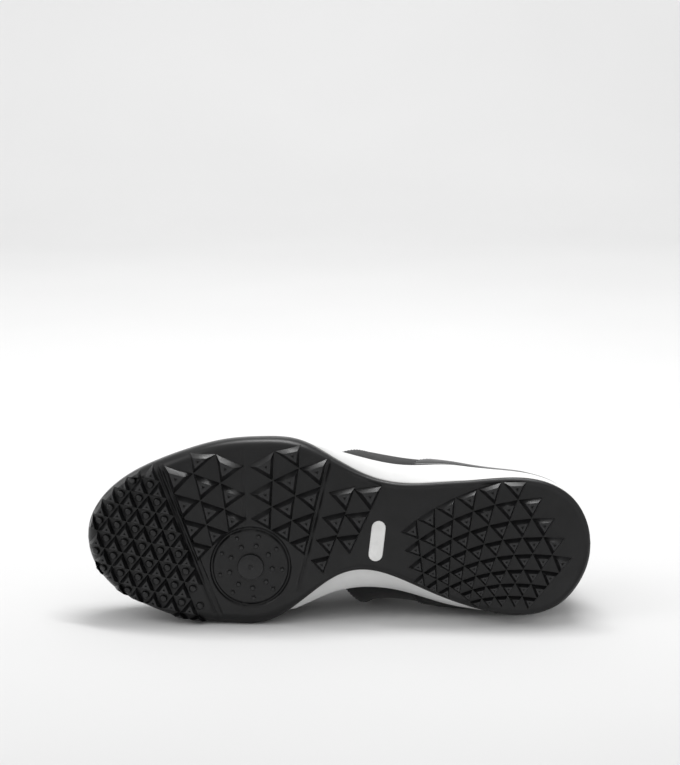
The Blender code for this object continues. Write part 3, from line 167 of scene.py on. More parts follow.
MEDIAL_RAYS = (
    (0.950, 0.658, -0.025, 0.638, 0.03, 0.52, 0.29, 0.32),
    (0.860, 0.635, -0.065, 0.670, 0.01, 0.48, 0.25, 0.18),
    (0.760, 0.595, -0.088, 0.722, 0.02, 0.42, 0.24, 0.12),
    (0.660, 0.545, -0.105, 0.786, 0.06, 0.36, 0.26, 0.12),
    (0.580, 0.492, -0.118, 0.855, 0.17, 0.30, 0.30, 0.15),
    (0.500, 0.437, -0.124, 0.925, 0.26, 0.26, 0.32, 0.18),
    (0.430, 0.390, -0.140, 0.975, 0.25, 0.26, 0.29, 0.22),
    (0.360, 0.345, -0.195, 0.835, 0.20, 0.28, 0.20, 0.28),
    (0.280, 0.275, -0.260, 0.650, 0.11, 0.32, 0.12, 0.30),
    (0.200, 0.200, -0.315, 0.622, 0.05, 0.35, 0.08, 0.30),
    (0.120, 0.125, -0.295, 0.722, 0.03, 0.35, 0.07, 0.35),
    (0.060, 0.075, -0.232, 0.800, 0.04, 0.35, 0.05, 0.35),
    (0.020, 0.048, -0.144, 0.820, 0.03, 0.35, 0.03, 0.35),
)
HEEL_RAY = (0.000, 0.042, -0.037, 0.825, 0.03, 0.35, 0.02, 0.35)


# Interpolation

def along(table, column):
    """A smooth reading of one table column by station that never overshoots its rows."""
    t = np.array([row[0] for row in table])
    v = np.array([row[column] for row in table])
    step = np.diff(t)
    slope = np.diff(v) / step
    m = np.zeros(len(t))
    for i in range(1, len(t) - 1):
        if slope[i - 1] * slope[i] > 0:
            m[i] = 2.0 / (1.0 / slope[i - 1] + 1.0 / slope[i])

    def read(at):
        at = np.clip(at, t[0], t[-1])
        k = np.clip(np.searchsorted(t, at, side="right") - 1, 0, len(step) - 1)
        h = step[k]
        s = (at - t[k]) / h
        return ((1 + 2 * s) * (1 - s) ** 2 * v[k] + s * (1 - s) ** 2 * h * m[k]
                + s * s * (3 - 2 * s) * v[k + 1] + s * s * (s - 1) * h * m[k + 1])
    return read


def around(turns, values):
    """A cubic curve through values at turns, closed after two turns (heel 0, toe 1, heel 2)."""
    t = np.array(turns)
    v = np.array(values, dtype=float).reshape(len(t), -1)
    count = len(t)
    h = np.diff(np.append(t, t[0] + 2.0))
    matrix = np.zeros((count, count))
    right = np.zeros_like(v)
    for i in range(count):
        after = (i + 1) % count
        matrix[i, i - 1] += h[i - 1]
        matrix[i, i] += 2 * (h[i - 1] + h[i])
        matrix[i, after] += h[i]
        right[i] = 6 * ((v[after] - v[i]) / h[i] - (v[i] - v[i - 1]) / h[i - 1])
    bend = np.linalg.solve(matrix, right)

    def read(at):
        at = np.mod(np.asarray(at, dtype=float) - t[0], 2.0) + t[0]
        k = np.clip(np.searchsorted(t, at, side="right") - 1, 0, count - 1)
        after = (k + 1) % count
        width = h[k][:, None]
        s = (at - t[k])[:, None]
        r = width - s
        return ((bend[k] * r ** 3 + bend[after] * s ** 3) / (6 * width)
                + (v[k] / width - bend[k] * width / 6) * r
                + (v[after] / width - bend[after] * width / 6) * s)
    return read


def turn_of(station, lateral=True):
    turn = math.acos(1 - 2 * station) / math.pi
    return turn if lateral else 2 - turn


def station_of(turns):
    return (1 - np.cos(np.pi * np.asarray(turns))) / 2


def smooth(low, high, value):
    s = np.clip((np.asarray(value) - low) / (high - low), 0, 1)
    return s * s * (3 - 2 * s)


def mix(a, b, share):
    return a + (b - a) * share


# The sole's loops, read at turns around the shoe

def local_width(station):
    return mix(HEEL_WIDTH, BALL_WIDTH, smooth(0.22, 0.50, station))


def plan_loop(lateral_column, medial_column):
    turns = []
    shares = []
    for row in PLAN:
        turns.append(turn_of(row[0]))
        shares.append(row[lateral_column])
    for row in reversed(PLAN[1:-1]):
        turns.append(turn_of(row[0], lateral=False))
        shares.append(row[medial_column])
    return around(turns, shares)


OUTSOLE_SHARE = plan_loop(1, 2)
MIDSOLE_SHARE = plan_loop(3, 4)
SPRING, LIFT, BEVEL, FOAM = [along(LEVELS, column) for column in (1, 2, 3, 4)]
CUP = [along(LEVELS, column) for column in (5, 6)]
RIM = [along(LEVELS, column) for column in (7, 8)]


def loop_points(share, turns):
    station = station_of(turns)
    return np.stack([LENGTH * station, share(turns)[:, 0] * local_width(station)], axis=1)


def loop_normals(share, turns):
    step = 1e-4
    along_loop = loop_points(share, turns + step) - loop_points(share, turns - step)
    normals = np.stack([-along_loop[:, 1], along_loop[:, 0]], axis=1)
    return normals / np.linalg.norm(normals, axis=1)[:, None]


def inset_loop(share, turns, inset):
    inset = np.broadcast_to(inset, np.shape(turns))[:, None]
    return loop_points(share, turns) - loop_normals(share, turns) * inset


def by_side(pair, turns):
    """Reads the lateral table on turns 0 to 1 and the medial one on 1 to 2, blended at both ends."""
    station = station_of(turns)
    side = np.sin(np.pi * np.asarray(turns))
    medial = (1 - side / np.maximum(np.abs(side), 1e-9)) / 2
    medial = np.where(np.abs(side) < 1e-6, 0.5, medial)
    return mix(pair[0](station), pair[1](station), medial)


def base_height(station):
    return (LUG_HEIGHT + TOE_SPRING * SPRING(station) + WAIST_LIFT * LIFT(station)
            + HEEL_BEVEL * BEVEL(station))


def floor_height(station):
    return base_height(station) + PLATE


def bed_height(station):
    foam = mix(MIDSOLE_BALL, MIDSOLE_HEEL, FOAM(station))
    return LUG_HEIGHT + PLATE + GAP + TOE_SPRING * SPRING(station) + foam


def cup_share(turns):
    return by_side(CUP, turns)


def cup_top(turns):
    return floor_height(station_of(turns)) + CUP_HEIGHT * cup_share(turns)


def before(stations, turns):
    """1 on the heel's side of a run of stations and 0 on the toe's side."""
    shift = np.where(np.mod(turns, 2.0) > 1, stations[2], 0.0)
    return 1 - smooth(stations[0] + shift, stations[1] + shift, station_of(turns))


def cup_ledge(turns):
    """Underside of the midsole over the cup's edge, sunk below that edge toward the toe."""
    return cup_top(turns) + mix(-0.0012, 3 * GAP, before(RIM_SINKS, turns))


def rim_top(turns):
    rim = bed_height(station_of(turns)) + RIM_HEIGHT * by_side(RIM, turns)
    shown = np.maximum(rim, cup_ledge(turns) + 0.0006)
    return mix(cup_ledge(turns) + 0.0006, shown, before(SIDE_ENDS, turns))


def bite_loop(turns, clearance):
    """Inner face of the rim that wraps the upper, moved in by the clearance."""
    cup = inset_loop(OUTSOLE_SHARE, turns, CUP_WALL + 2 * GAP + RIM_INSIDE + clearance)
    rim = inset_loop(MIDSOLE_SHARE, turns, RIM_WALL + clearance)
    return mix(cup, rim, before(RIM_HOLDS, turns)[:, None])


def side_rise(turns):
    """Height of the foot bed as a share of the midsole's side, from its ledge to its rim."""
    ledge = cup_ledge(turns)
    rise = (bed_height(station_of(turns)) - ledge) / (rim_top(turns) - ledge)
    return np.clip(rise, 0.30, 0.75)


def side_share(rise):
    """How far the midsole's side has come out from the outsole's edge at a share of its height."""
    return rise * (1 + SIDE_BULGE * (1 - rise))


def bed_loop(turns, clearance):
    """Outline of the foot bed, set in from the midsole's sloped side by the rim's wall."""
    cup = inset_loop(OUTSOLE_SHARE, turns, CUP_WALL + 2 * GAP + RIM_INSIDE + clearance)
    foot = inset_loop(OUTSOLE_SHARE, turns, SIDE_INSET + RIM_WALL + clearance)
    wide = inset_loop(MIDSOLE_SHARE, turns, RIM_WALL + clearance)
    rim = mix(foot, wide, side_share(side_rise(turns))[:, None])
    return mix(cup, rim, before(RIM_HOLDS, turns)[:, None])


def own_station(plan):
    """Station of each plan point by where it lies, not by the turn that it was read at."""
    return np.clip(plan[:, 0] / LENGTH, 0, 1)


def ring(plan, height):
    height = np.broadcast_to(height, len(plan))
    return np.concatenate([plan, height[:, None]], axis=1)


def inside_outline(point, margin):
    """Moves a plan point in to the outsole's outline less a margin, if it lies outside."""
    station = np.clip(point[0] / LENGTH, 0.002, 0.998)
    turn = turn_of(station, lateral=point[1] > 0)
    near = turn + np.linspace(-0.08, 0.08, 81)
    edge = inset_loop(OUTSOLE_SHARE, near, margin)
    nearest = np.argmin(np.linalg.norm(edge - point, axis=1))
    normal = loop_normals(OUTSOLE_SHARE, near[nearest:nearest + 1])[0]
    over = float(np.dot(point - edge[nearest], normal))
    if over <= 0:
        return np.array(point), 0.0
    return edge[nearest], over


LUG_TOP = 0.52            # size of a lug's top against its foot
LUG_LEAN = 0.05           # how far the top leans to its steep edge
LUG_SLIVER = 0.0012       # a lug whose middle is this near to its margin is left out


# A fan of lugs turns about a focus: x (LENGTH), y (BALL_WIDTH), radius (LENGTH), turn of a column in
# degrees toward the toe, shrink of a column, shrink of a row, turn of a row in degrees
FOREFOOT_FAN = (0.6615, -1.0636, 0.5545, 5.2, 1.0, 0.9, 0.0)
HEEL_FAN = (0.2774, -0.9322, 0.4820, 5.536, 0.9554, 0.9197, -2.262)
# Angle of each fan's first column from the lateral direction, toward the toe
FOREFOOT_MIDDLE = 1.62
MIDDLE_GAP = 0.42
HEEL_START = -18.84

# Lug columns of the forefoot: side of the middle (1 toe, -1 heel), steep column, first row, lugs
FOREFOOT_COLUMNS = (
    (1, 1, -0.5, 3),
    (1, 2, -1.0, 4),
    (1, 3, -0.5, 4),
    (-1, 1, -0.5, 3),
    (-1, 2, -1.0, 4),
    (-1, 3, -0.5, 4),
    (-1, 4.36, 0.15, 4),
    (-1, 5.32, -0.22, 3),
)
# Rows of the heel: lugs, where the row starts (columns toward the toe)
HEEL_ROWS = ((6, 0.5), (7, 0.0), (8, -0.5), (9, -1.0), (9, -1.5), (8, -1.0), (7, -0.5), (5, 0.0))


def fan_point(fan, start_degrees, column, row):
    focus_x, focus_y, radius, turn, shrink, row_shrink, row_turn = fan
    angle = math.radians(start_degrees + turn * column + row_turn * row)
    reach = radius * LENGTH * shrink ** column * row_shrink ** row
    return (focus_x * LENGTH + reach * math.sin(angle), focus_y * BALL_WIDTH + reach * math.cos(angle))


def forefoot_lug(side, steep, row):
    """Corners of a forefoot lug whose steep edge lies on a column and whose point looks to the middle."""
    start = FOREFOOT_MIDDLE + side * MIDDLE_GAP
    fan = FOREFOOT_FAN[:3] + (side * FOREFOOT_FAN[3],) + FOREFOOT_FAN[4:]
    return (fan_point(fan, start, steep - 1, row + 0.5),
            fan_point(fan, start, steep, row),
            fan_point(fan, start, steep, row + 1))


def heel_lug(column, row):
    """Corners of a heel lug. Its point looks to the toe and its steep edge to the heel."""
    third = 1 / 3
    return (fan_point(HEEL_FAN, HEEL_START, column + 0.5, row - third),
            fan_point(HEEL_FAN, HEEL_START, column - 0.5, row - third),
            fan_point(HEEL_FAN, HEEL_START, column, row + 2 * third))


# The toe's lugs stand on a straight grid: origin and steps in shares of LENGTH and BALL_WIDTH
TOE_ORIGIN = (0.8851, 0.0558)
TOE_STEP = (-0.03639, -0.01972)
TOE_ROW = (-0.01311, -0.09393)
TOE_GRID = 9              # steps tried each way from the origin


def toe_spot(step, row):
    """Plan point of the toe's grid at a step and a row, which may lie between its points."""
    x = TOE_ORIGIN[0] + TOE_STEP[0] * step + TOE_ROW[0] * row
    y = TOE_ORIGIN[1] + TOE_STEP[1] * step + TOE_ROW[1] * row
    return np.array((x * LENGTH, y * BALL_WIDTH))


def toe_lug(step, row):
    third = 1 / 3
    corners = ((third, -2 * third), (third, third), (-2 * third, third))
    return [toe_spot(step + a, row + b) for a, b in corners]


# Grooves between the zones, as two plan points each: x (LENGTH), y (BALL_WIDTH)
TOE_GROOVE = ((0.8479, 0.4340), (0.7380, -0.3830))
REAR_GROOVE = ((0.5132, 0.4380), (0.5802, -0.2410))
MIDDLE_GROOVE = ((0.6833, 0.5150), (0.6833, 0.1020))


def groove_side(point, groove):
    """Signed distance of a plan point from a groove's line, positive toward the toe."""
    (ax, ay), (bx, by) = groove
    a = np.array((ax * LENGTH, ay * BALL_WIDTH))
    b = np.array((bx * LENGTH, by * BALL_WIDTH))
    line = (b - a) / np.linalg.norm(b - a)
    offset = np.array(point) - a
    return float(line[0] * offset[1] - line[1] * offset[0])


GROOVE_CLEAR = 0.0052     # middles of the toe lugs keep this far from the toe groove
DISC_CENTRE = (0.6735, -0.1150)
DISC_CLEAR = 0.0030       # lugs keep this far from the pivot disc
HUB_HEIGHT = 0.0018
PIN_HEIGHT = 0.0012
PIN_DIRECTIONS = 9
PIN_START = 266.3         # degrees from the toe direction toward the lateral side
# Rings of pins on the disc: radius (DISC_DIAMETER), pin diameter
PIN_RINGS = ((0.265, 0.0027), (0.387, 0.0023))


def disc_middle():
    return np.array((DISC_CENTRE[0] * LENGTH, DISC_CENTRE[1] * BALL_WIDTH))


def circle(middle, radius, sides):
    angles = 2 * np.pi * np.arange(sides) / sides
    return np.array(middle) + radius * np.stack([np.cos(angles), np.sin(angles)], axis=1)


# Plain rounded inlay at the waist of the sole
INLAY_PLACE = (0.4223, 0.003)      # x (LENGTH), y (BALL_WIDTH)
INLAY_LENGTH = 0.0240
INLAY_WIDTH = 0.0085
INLAY_TURN = 8.0                   # degrees from straight across the sole


def pill_outline(inset):
    middle = np.array((INLAY_PLACE[0] * LENGTH, INLAY_PLACE[1] * BALL_WIDTH))
    radius = INLAY_WIDTH / 2
    tilt = math.radians(INLAY_TURN)
    points = []
    for end in (1, -1):
        for k in range(9):
            angle = math.pi * k / 8 + (0 if end > 0 else math.pi)
            x = (radius - inset) * math.cos(angle)
            y = (radius - inset) * math.sin(angle) + end * (INLAY_LENGTH / 2 - radius)
            points.append(middle + np.array((x * math.cos(tilt) - y * math.sin(tilt),
                                             x * math.sin(tilt) + y * math.cos(tilt))))
    return np.array(points)


def ray_table():
    rows = [HEEL_RAY] + list(LATERAL_RAYS) + [TOE_RAY] + list(MEDIAL_RAYS)
    turns = []
    for i, row in enumerate(rows):
        turns.append(turn_of(row[0], lateral=i <= len(LATERAL_RAYS) + 1))
    return around(turns, [row[1:] for row in rows])


RAYS = ray_table()


def upper_points(turns, climbs):
    """Outer skin of the upper at turns around it and climbs from the bite line 0 to the edge 1."""
    turns, climbs = np.broadcast_arrays(np.asarray(turns, dtype=float), np.asarray(climbs, dtype=float))
    shape = turns.shape
    turns = turns.ravel()
    r = climbs.ravel()[:, None]
    edge_x, edge_y, edge_z, flare, rise, lean, drop = RAYS(turns).T
    foot = ring(bite_loop(turns, GAP), np.maximum(rim_top(turns), cup_top(turns)) + 2 * GAP)
    edge = np.stack([edge_x * LENGTH, edge_y * BALL_WIDTH, edge_z * INSTEP_TOP], axis=1)
    normal = loop_normals(OUTSOLE_SHARE, turns)
    height = edge[:, 2] - foot[:, 2]
    low = foot + ring(normal * (flare * BALL_WIDTH)[:, None], rise * height)
    high = edge + ring(normal * (lean * BALL_WIDTH)[:, None], -drop * height)
    points = ((1 - r) ** 3 * foot + 3 * (1 - r) ** 2 * r * low
              + 3 * (1 - r) * r * r * high + r ** 3 * edge)
    return points.reshape(shape + (3,))


def upper_normals(turns, climbs):
    step = 1e-3
    turns = np.asarray(turns)
    around_skin = upper_points(turns + step, climbs) - upper_points(turns - step, climbs)
    up_skin = (upper_points(turns, np.minimum(climbs + step, 1.0))
               - upper_points(turns, np.maximum(climbs - step, 0.0)))
    normals = np.cross(up_skin, around_skin)
    return normals / np.linalg.norm(normals, axis=-1)[..., None]


PADDED = (0.260, 0.345)   # stations over which the collar's padding ends


def dense_skin():
    turns, climbs = np.meshgrid(np.arange(320) / 160, np.linspace(0.15, 1.0, 70), indexing="ij")
    points = upper_points(turns, climbs)
    normals = upper_normals(turns, climbs)
    facing = normals[..., 2] > 0.15
    return points[facing], normals[facing]


def throat_edges():
    """Lateral and medial edge of the throat as x, y, z rows with x falling from front to top."""
    turns = np.linspace(turn_of(THROAT_TOP), 1.0, 120)
    lateral = upper_points(turns, np.ones(len(turns)))
    medial = upper_points(2 - turns, np.ones(len(turns)))
    return lateral, medial


THROAT_TOP = 0.430        # station of the rays at the top eyelets


class Instep:
    """Heights of the closed instep, with the throat bridged from edge to edge."""

    def __init__(self):
        self.points, self.normals = dense_skin()
        self.edges = throat_edges()
        self.front = float(self.edges[0][:, 0].max())
        self.top = float(max(self.edges[0][0, 0], self.edges[1][0, 0]))

    def skin(self, x, y):
        near = np.argmin((self.points[:, 0] - x) ** 2 + (self.points[:, 1] - y) ** 2)
        spot = self.points[near]
        normal = self.normals[near]
        return float(spot[2] - (normal[0] * (x - spot[0]) + normal[1] * (y - spot[1])) / normal[2])

    def height(self, x, y):
        if x > self.front - 0.002:
            return self.skin(x, y)
        ends = []
        for edge, outward in zip(self.edges, (1, -1)):
            order = np.argsort(edge[:, 0])
            edge_y = float(np.interp(x, edge[order, 0], edge[order, 1]))
            edge_z = float(np.interp(x, edge[order, 0], edge[order, 2]))
            probe = 0.003 * outward
            slope = (self.skin(x, edge_y + probe) - edge_z) / probe
            ends.append((edge_y, edge_z, float(np.clip(slope, -0.9, 0.9))))
        (y1, z1, m1), (y0, z0, m0) = ends
        if y > y1 or y < y0:
            return self.skin(x, y)
        h = y1 - y0
        s = (y - y0) / h
        return ((1 + 2 * s) * (1 - s) ** 2 * z0 + s * (1 - s) ** 2 * h * m0
                + s * s * (3 - 2 * s) * z1 + s * s * (s - 1) * h * m1)

    def place(self, x, y, lift):
        """Point over the plan spot, moved along the surface normal by the lift."""
        step = 0.002
        here = self.height(x, y)
        slope_x = (self.height(x + step, y) - self.height(x - step, y)) / (2 * step)
        slope_y = (self.height(x, y + step) - self.height(x, y - step)) / (2 * step)
        normal = np.array((-slope_x, -slope_y, 1.0))
        return np.array((x, y, here)) + normal / np.linalg.norm(normal) * lift


TONGUE_FRONT = 0.700      # station of its hidden front end under the vamp
TONGUE_CLEAR = 0.0012     # under the upper, whose inside is faceted too
# Half width of the tongue from its front end to the top eyelets, as shares of TONGUE_WIDTH / 2
TONGUE_PLAN = ((0.0, 0.62), (0.5, 0.92), (0.8, 0.80), (1.0, 0.58))
TONGUE_TAPER = 0.22       # how much narrower its free end is than at the top eyelets


EYESTAY_WIDTH = 0.0155
EYESTAY_TOP = 0.405       # station of the eyestay's top end
OVERLAY_FOOT = 0.045      # climb of the overlays' lower edge


def ray_length(turns):
    climbs = np.linspace(0, 1, 12)
    points = np.array([upper_points(turns, np.full(len(turns), climb)) for climb in climbs])
    return np.linalg.norm(np.diff(points, axis=0), axis=2).sum(axis=0)


def band_climb(turns):
    return 1 - EYESTAY_WIDTH / ray_length(turns)


def quarter_top(turns):
    station = station_of(turns)
    return mix(0.90, band_climb(turns) - 0.025, smooth(EYESTAY_TOP - 0.12, EYESTAY_TOP - 0.045, station))


def counter_top(turns):
    return mix(0.62, 0.46, smooth(0.02, 0.33, station_of(turns)))


EYELET_INSET = 0.0075     # eyelet centres from the throat's edge
EYELET_RUN = (0.410, 0.635)        # x of the top and front eyelets (LENGTH)


def eyelet_spots(instep):
    """Centre and outward direction of each eyelet, front to top, lateral and medial."""
    rows = []
    for medial in (False, True):
        turns = np.linspace(turn_of(THROAT_TOP - 0.02), 1.0, 200)
        if medial:
            turns = 2 - turns
        edge = upper_points(turns, np.ones(len(turns)))
        row = []
        for k in range(EYELETS):
            x = LENGTH * mix(EYELET_RUN[1], EYELET_RUN[0], k / (EYELETS - 1))
            turn = np.array([turns[np.argmin(np.abs(edge[:, 0] - x))]])
            climb = 1 - EYELET_INSET / ray_length(turn)
            row.append((upper_points(turn, climb)[0], upper_normals(turn, climb)[0]))
        rows.append(row)
    return rows


# Pieces

class Shape:
    """Points and faces of one piece in the standing frame, with a mark and a material slot."""

    def __init__(self):
        self.points = []
        self.faces = []
        self.marks = []
        self.slots = []
        self.count = 0

    def add(self, points, faces, mark=0.0, slot=0):
        points = np.asarray(points, dtype=float).reshape(-1, 3)
        self.points.append(points)
        self.marks.append(np.broadcast_to(mark, len(points)))
        self.faces += [tuple(int(i) + self.count for i in face) for face in faces]
        self.slots += [slot] * len(faces)
        self.count += len(points)

    def grid(self, points, closed=False, mark=0.0, slot=0):
        """A sheet through rows of points, closed across its columns if asked."""
        rows, columns = np.shape(points)[:2]
        last = columns if closed else columns - 1
        r, c = np.meshgrid(np.arange(rows - 1), np.arange(last), indexing="ij")
        after = (c + 1) % columns
        quads = np.stack([r * columns + c, r * columns + after,
                          (r + 1) * columns + after, (r + 1) * columns + c], axis=-1)
        mark = np.ravel(mark) if np.ndim(mark) else mark
        self.add(np.reshape(points, (-1, 3)), quads.reshape(-1, 4), mark, slot)

    def fan(self, loop, centre, mark=0.0, slot=0):
        count = len(loop)
        points = np.concatenate([loop, [centre]])
        self.add(points, [(i, (i + 1) % count, count) for i in range(count)], mark, slot)

    def make(self, name, nodes, materials, turn=True):
        points = np.concatenate(self.points)
        placed = points @ STAND[:, :3].T + STAND[:, 3]
        mesh = bpy.data.meshes.new(name)
        mesh.from_pydata(placed.tolist(), [], self.faces)
        mesh.attributes.new("mark", "FLOAT", "POINT").data.foreach_set(
            "value", np.concatenate(self.marks).astype(np.float32))
        for made in materials:
            mesh.materials.append(made)
        mesh.polygons.foreach_set("material_index", np.array(self.slots, dtype=np.int32))
        if turn:
            bm = bmesh.new()
            bm.from_mesh(mesh)
            bmesh.ops.recalc_face_normals(bm, faces=bm.faces)
            bm.to_mesh(mesh)
            bm.free()
        mesh.polygons.foreach_set("use_smooth", np.ones(len(mesh.polygons), dtype=bool))
        mesh.update()
        piece = bpy.data.objects.new(name, mesh)
        bpy.context.scene.collection.objects.link(piece)
        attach(piece, "root")
        if nodes:
            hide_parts(*nodes)
        return piece


def sharpen(piece, degrees):
    """Edges that bend more than the angle stay crisp."""
    bm = bmesh.new()
    bm.from_mesh(piece.data)
    limit = math.radians(degrees)
    for edge in bm.edges:
        edge.smooth = not (len(edge.link_faces) == 2 and edge.calc_face_angle() > limit)
    bm.to_mesh(piece.data)
    bm.free()


def sweep(shape, path, normals, profile, mark=0.0, slot=0, closed=False):
    """A section carried along a path. The profile holds side and up for each of its points."""
    path = np.asarray(path)
    ahead = np.gradient(path, axis=0)
    if closed:
        ahead = np.roll(path, -1, axis=0) - np.roll(path, 1, axis=0)
    ahead /= np.linalg.norm(ahead, axis=1)[:, None]
    up = np.asarray(normals) - ahead * np.sum(normals * ahead, axis=1)[:, None]
    up /= np.linalg.norm(up, axis=1)[:, None]
    side = np.cross(up, ahead)
    profile = np.asarray(profile)
    if profile.ndim == 2:
        profile = np.broadcast_to(profile, (len(path),) + profile.shape)
    rows = (path[:, None, :] + side[:, None, :] * profile[:, :, :1] + up[:, None, :] * profile[:, :, 1:])
    if closed:
        rows = np.concatenate([rows, rows[:1]])
    shape.grid(rows, closed=True, mark=mark, slot=slot)
    if not closed:
        for end in (rows[0], rows[-1]):
            shape.fan(end, end.mean(axis=0), mark, slot)


def oval(width, height, sides=10, flat=1.0):
    """Section of a strand: an oval, squarer where flat is above 1."""
    angles = 2 * np.pi * np.arange(sides) / sides
    x = np.sign(np.cos(angles)) * np.abs(np.cos(angles)) ** (1 / flat)
    y = np.sign(np.sin(angles)) * np.abs(np.sin(angles)) ** (1 / flat)
    return np.stack([x * width / 2, y * height / 2], axis=1)


# Materials

def material(name, build):
    made = bpy.data.materials.new(name)
    made.use_nodes = True
    build(made.node_tree, made.node_tree.nodes["Principled BSDF"])
    return made


def node(tree, kind, **values):
    made = tree.nodes.new(kind)
    for key, value in values.items():
        if key in made.inputs:
            made.inputs[key].default_value = value
        else:
            setattr(made, key, value)
    return made


def noise(tree, scale, detail=4.0, roughness=0.55, stretch=(1, 1, 1)):
    """Noise over the row frame in metres."""
    place = tree.nodes.new("ShaderNodeTexCoord")
    mapping = node(tree, "ShaderNodeMapping")
    mapping.inputs["Scale"].default_value = stretch
    made = node(tree, "ShaderNodeTexNoise", Scale=scale, Detail=detail, Roughness=roughness)
    tree.links.new(place.outputs["Object"], mapping.inputs["Vector"])
    tree.links.new(mapping.outputs["Vector"], made.inputs["Vector"])
    return made.outputs["Fac"]


def cells(tree, scale, feature="F1"):
    place = tree.nodes.new("ShaderNodeTexCoord")
    made = node(tree, "ShaderNodeTexVoronoi", Scale=scale)
    made.feature = feature
    tree.links.new(place.outputs["Object"], made.inputs["Vector"])
    return made.outputs["Distance"]


def ramp(tree, value, low, high, low_colour, high_colour):
    made = tree.nodes.new("ShaderNodeValToRGB")
    made.color_ramp.elements[0].position = low
    made.color_ramp.elements[1].position = high
    made.color_ramp.elements[0].color = (*low_colour, 1)
    made.color_ramp.elements[1].color = (*high_colour, 1)
    tree.links.new(value, made.inputs["Fac"])
    return made.outputs["Color"]


def spread(tree, value, low, high):
    made = node(tree, "ShaderNodeMapRange")
    made.inputs["To Min"].default_value = low
    made.inputs["To Max"].default_value = high
    tree.links.new(value, made.inputs["Value"])
    return made.outputs["Result"]


def mark_value(tree):
    made = tree.nodes.new("ShaderNodeAttribute")
    made.attribute_name = "mark"
    return made.outputs["Fac"]


def blend(tree, factor, a, b):
    made = tree.nodes.new("ShaderNodeMix")
    made.data_type = "RGBA"
    tree.links.new(factor, made.inputs["Factor"])
    tree.links.new(a, made.inputs["A"])
    tree.links.new(b, made.inputs["B"])
    return made.outputs["Result"]


def add_bump(tree, shader, layers):
    """Bump layers, each a height, a strength and a depth in metres."""
    last = None
    for height, strength, depth in layers:
        bump = node(tree, "ShaderNodeBump", Strength=strength, Distance=depth)
        tree.links.new(height, bump.inputs["Height"])
        if last is not None:
            tree.links.new(last, bump.inputs["Normal"])
        last = bump.outputs["Normal"]
    tree.links.new(last, shader.inputs["Normal"])


def rubber(tree, shader):
    """Black moulded rubber, greyer where the mark says that it rubs the ground."""
    patch = noise(tree, 90, 3)
    fresh = ramp(tree, patch, 0.3, 0.75, (0.0035, 0.0035, 0.0038), (0.0070, 0.0070, 0.0074))
    worn = ramp(tree, noise(tree, 700, 2), 0.3, 0.7, (0.009, 0.009, 0.0095), (0.020, 0.020, 0.021))
    tree.links.new(blend(tree, mark_value(tree), fresh, worn), shader.inputs["Base Color"])
    tree.links.new(spread(tree, noise(tree, 160, 4), 0.27, 0.42), shader.inputs["Roughness"])
    shader.inputs["Specular IOR Level"].default_value = 0.36
    add_bump(tree, shader, ((noise(tree, 3000, 2), 0.25, 0.00010), (noise(tree, 260, 3), 0.25, 0.00020)))


def foam(tree, shader):
    """White moulded foam with a fine skin."""
    clean = ramp(tree, noise(tree, 45, 4), 0.30, 0.75, (0.78, 0.78, 0.775), (0.88, 0.88, 0.875))
    tree.links.new(clean, shader.inputs["Base Color"])
    tree.links.new(spread(tree, noise(tree, 300, 3), 0.48, 0.62), shader.inputs["Roughness"])
    shader.inputs["Subsurface Weight"].default_value = 0.05
    shader.inputs["Subsurface Radius"].default_value = (0.002, 0.002, 0.002)
    add_bump(tree, shader, ((noise(tree, 2600, 2), 0.25, 0.00008), (noise(tree, 140, 3), 0.20, 0.00025)))


def vamp_skin(tree, shader):
    """Semi-gloss synthetic leather with a fine pebble and slow waves."""
    colour = ramp(tree, noise(tree, 60, 4), 0.3, 0.75, (0.005, 0.005, 0.0055), (0.011, 0.011, 0.012))
    tree.links.new(colour, shader.inputs["Base Color"])
    tree.links.new(spread(tree, noise(tree, 110, 4), 0.26, 0.42), shader.inputs["Roughness"])
    shader.inputs["Coat Weight"].default_value = 0.15
    shader.inputs["Coat Roughness"].default_value = 0.35
    add_bump(tree, shader, ((cells(tree, 1500), 0.30, 0.00012), (noise(tree, 700, 3), 0.25, 0.00012),
                            (noise(tree, 45, 2), 0.15, 0.00060)))


def matte_skin(tree, shader):
    """Matte synthetic suede of the overlays."""
    colour = ramp(tree, noise(tree, 220, 5), 0.3, 0.75, (0.004, 0.004, 0.0043), (0.009, 0.009, 0.0095))
    tree.links.new(colour, shader.inputs["Base Color"])
    shader.inputs["Specular IOR Level"].default_value = 0.25
    tree.links.new(spread(tree, noise(tree, 150, 3), 0.58, 0.74), shader.inputs["Roughness"])
    shader.inputs["Sheen Weight"].default_value = 0.12
    shader.inputs["Sheen Roughness"].default_value = 0.5
    add_bump(tree, shader, ((noise(tree, 2600, 3), 0.35, 0.00012), (noise(tree, 320, 3), 0.25, 0.00020)))


def weave(scale):
    def build(tree, shader):
        """A close textile weave."""
        place = tree.nodes.new("ShaderNodeTexCoord")
        waves = []
        for direction in ("X", "Z"):
            wave = node(tree, "ShaderNodeTexWave", Scale=scale, Distortion=0.4)
            wave.bands_direction = direction
            tree.links.new(place.outputs["Object"], wave.inputs["Vector"])
            waves.append(wave.outputs["Fac"])
        both = node(tree, "ShaderNodeMath")
        both.operation = "MULTIPLY"
        tree.links.new(waves[0], both.inputs[0])
        tree.links.new(waves[1], both.inputs[1])
        colour = ramp(tree, both.outputs["Value"], 0.0, 0.8, (0.006, 0.006, 0.0065), (0.020, 0.020, 0.021))
        tree.links.new(colour, shader.inputs["Base Color"])
        shader.inputs["Roughness"].default_value = 0.88
        shader.inputs["Sheen Weight"].default_value = 0.2
        add_bump(tree, shader, ((both.outputs["Value"], 0.6, 0.00025), (noise(tree, 900, 3), 0.2, 0.00015)))
    return build


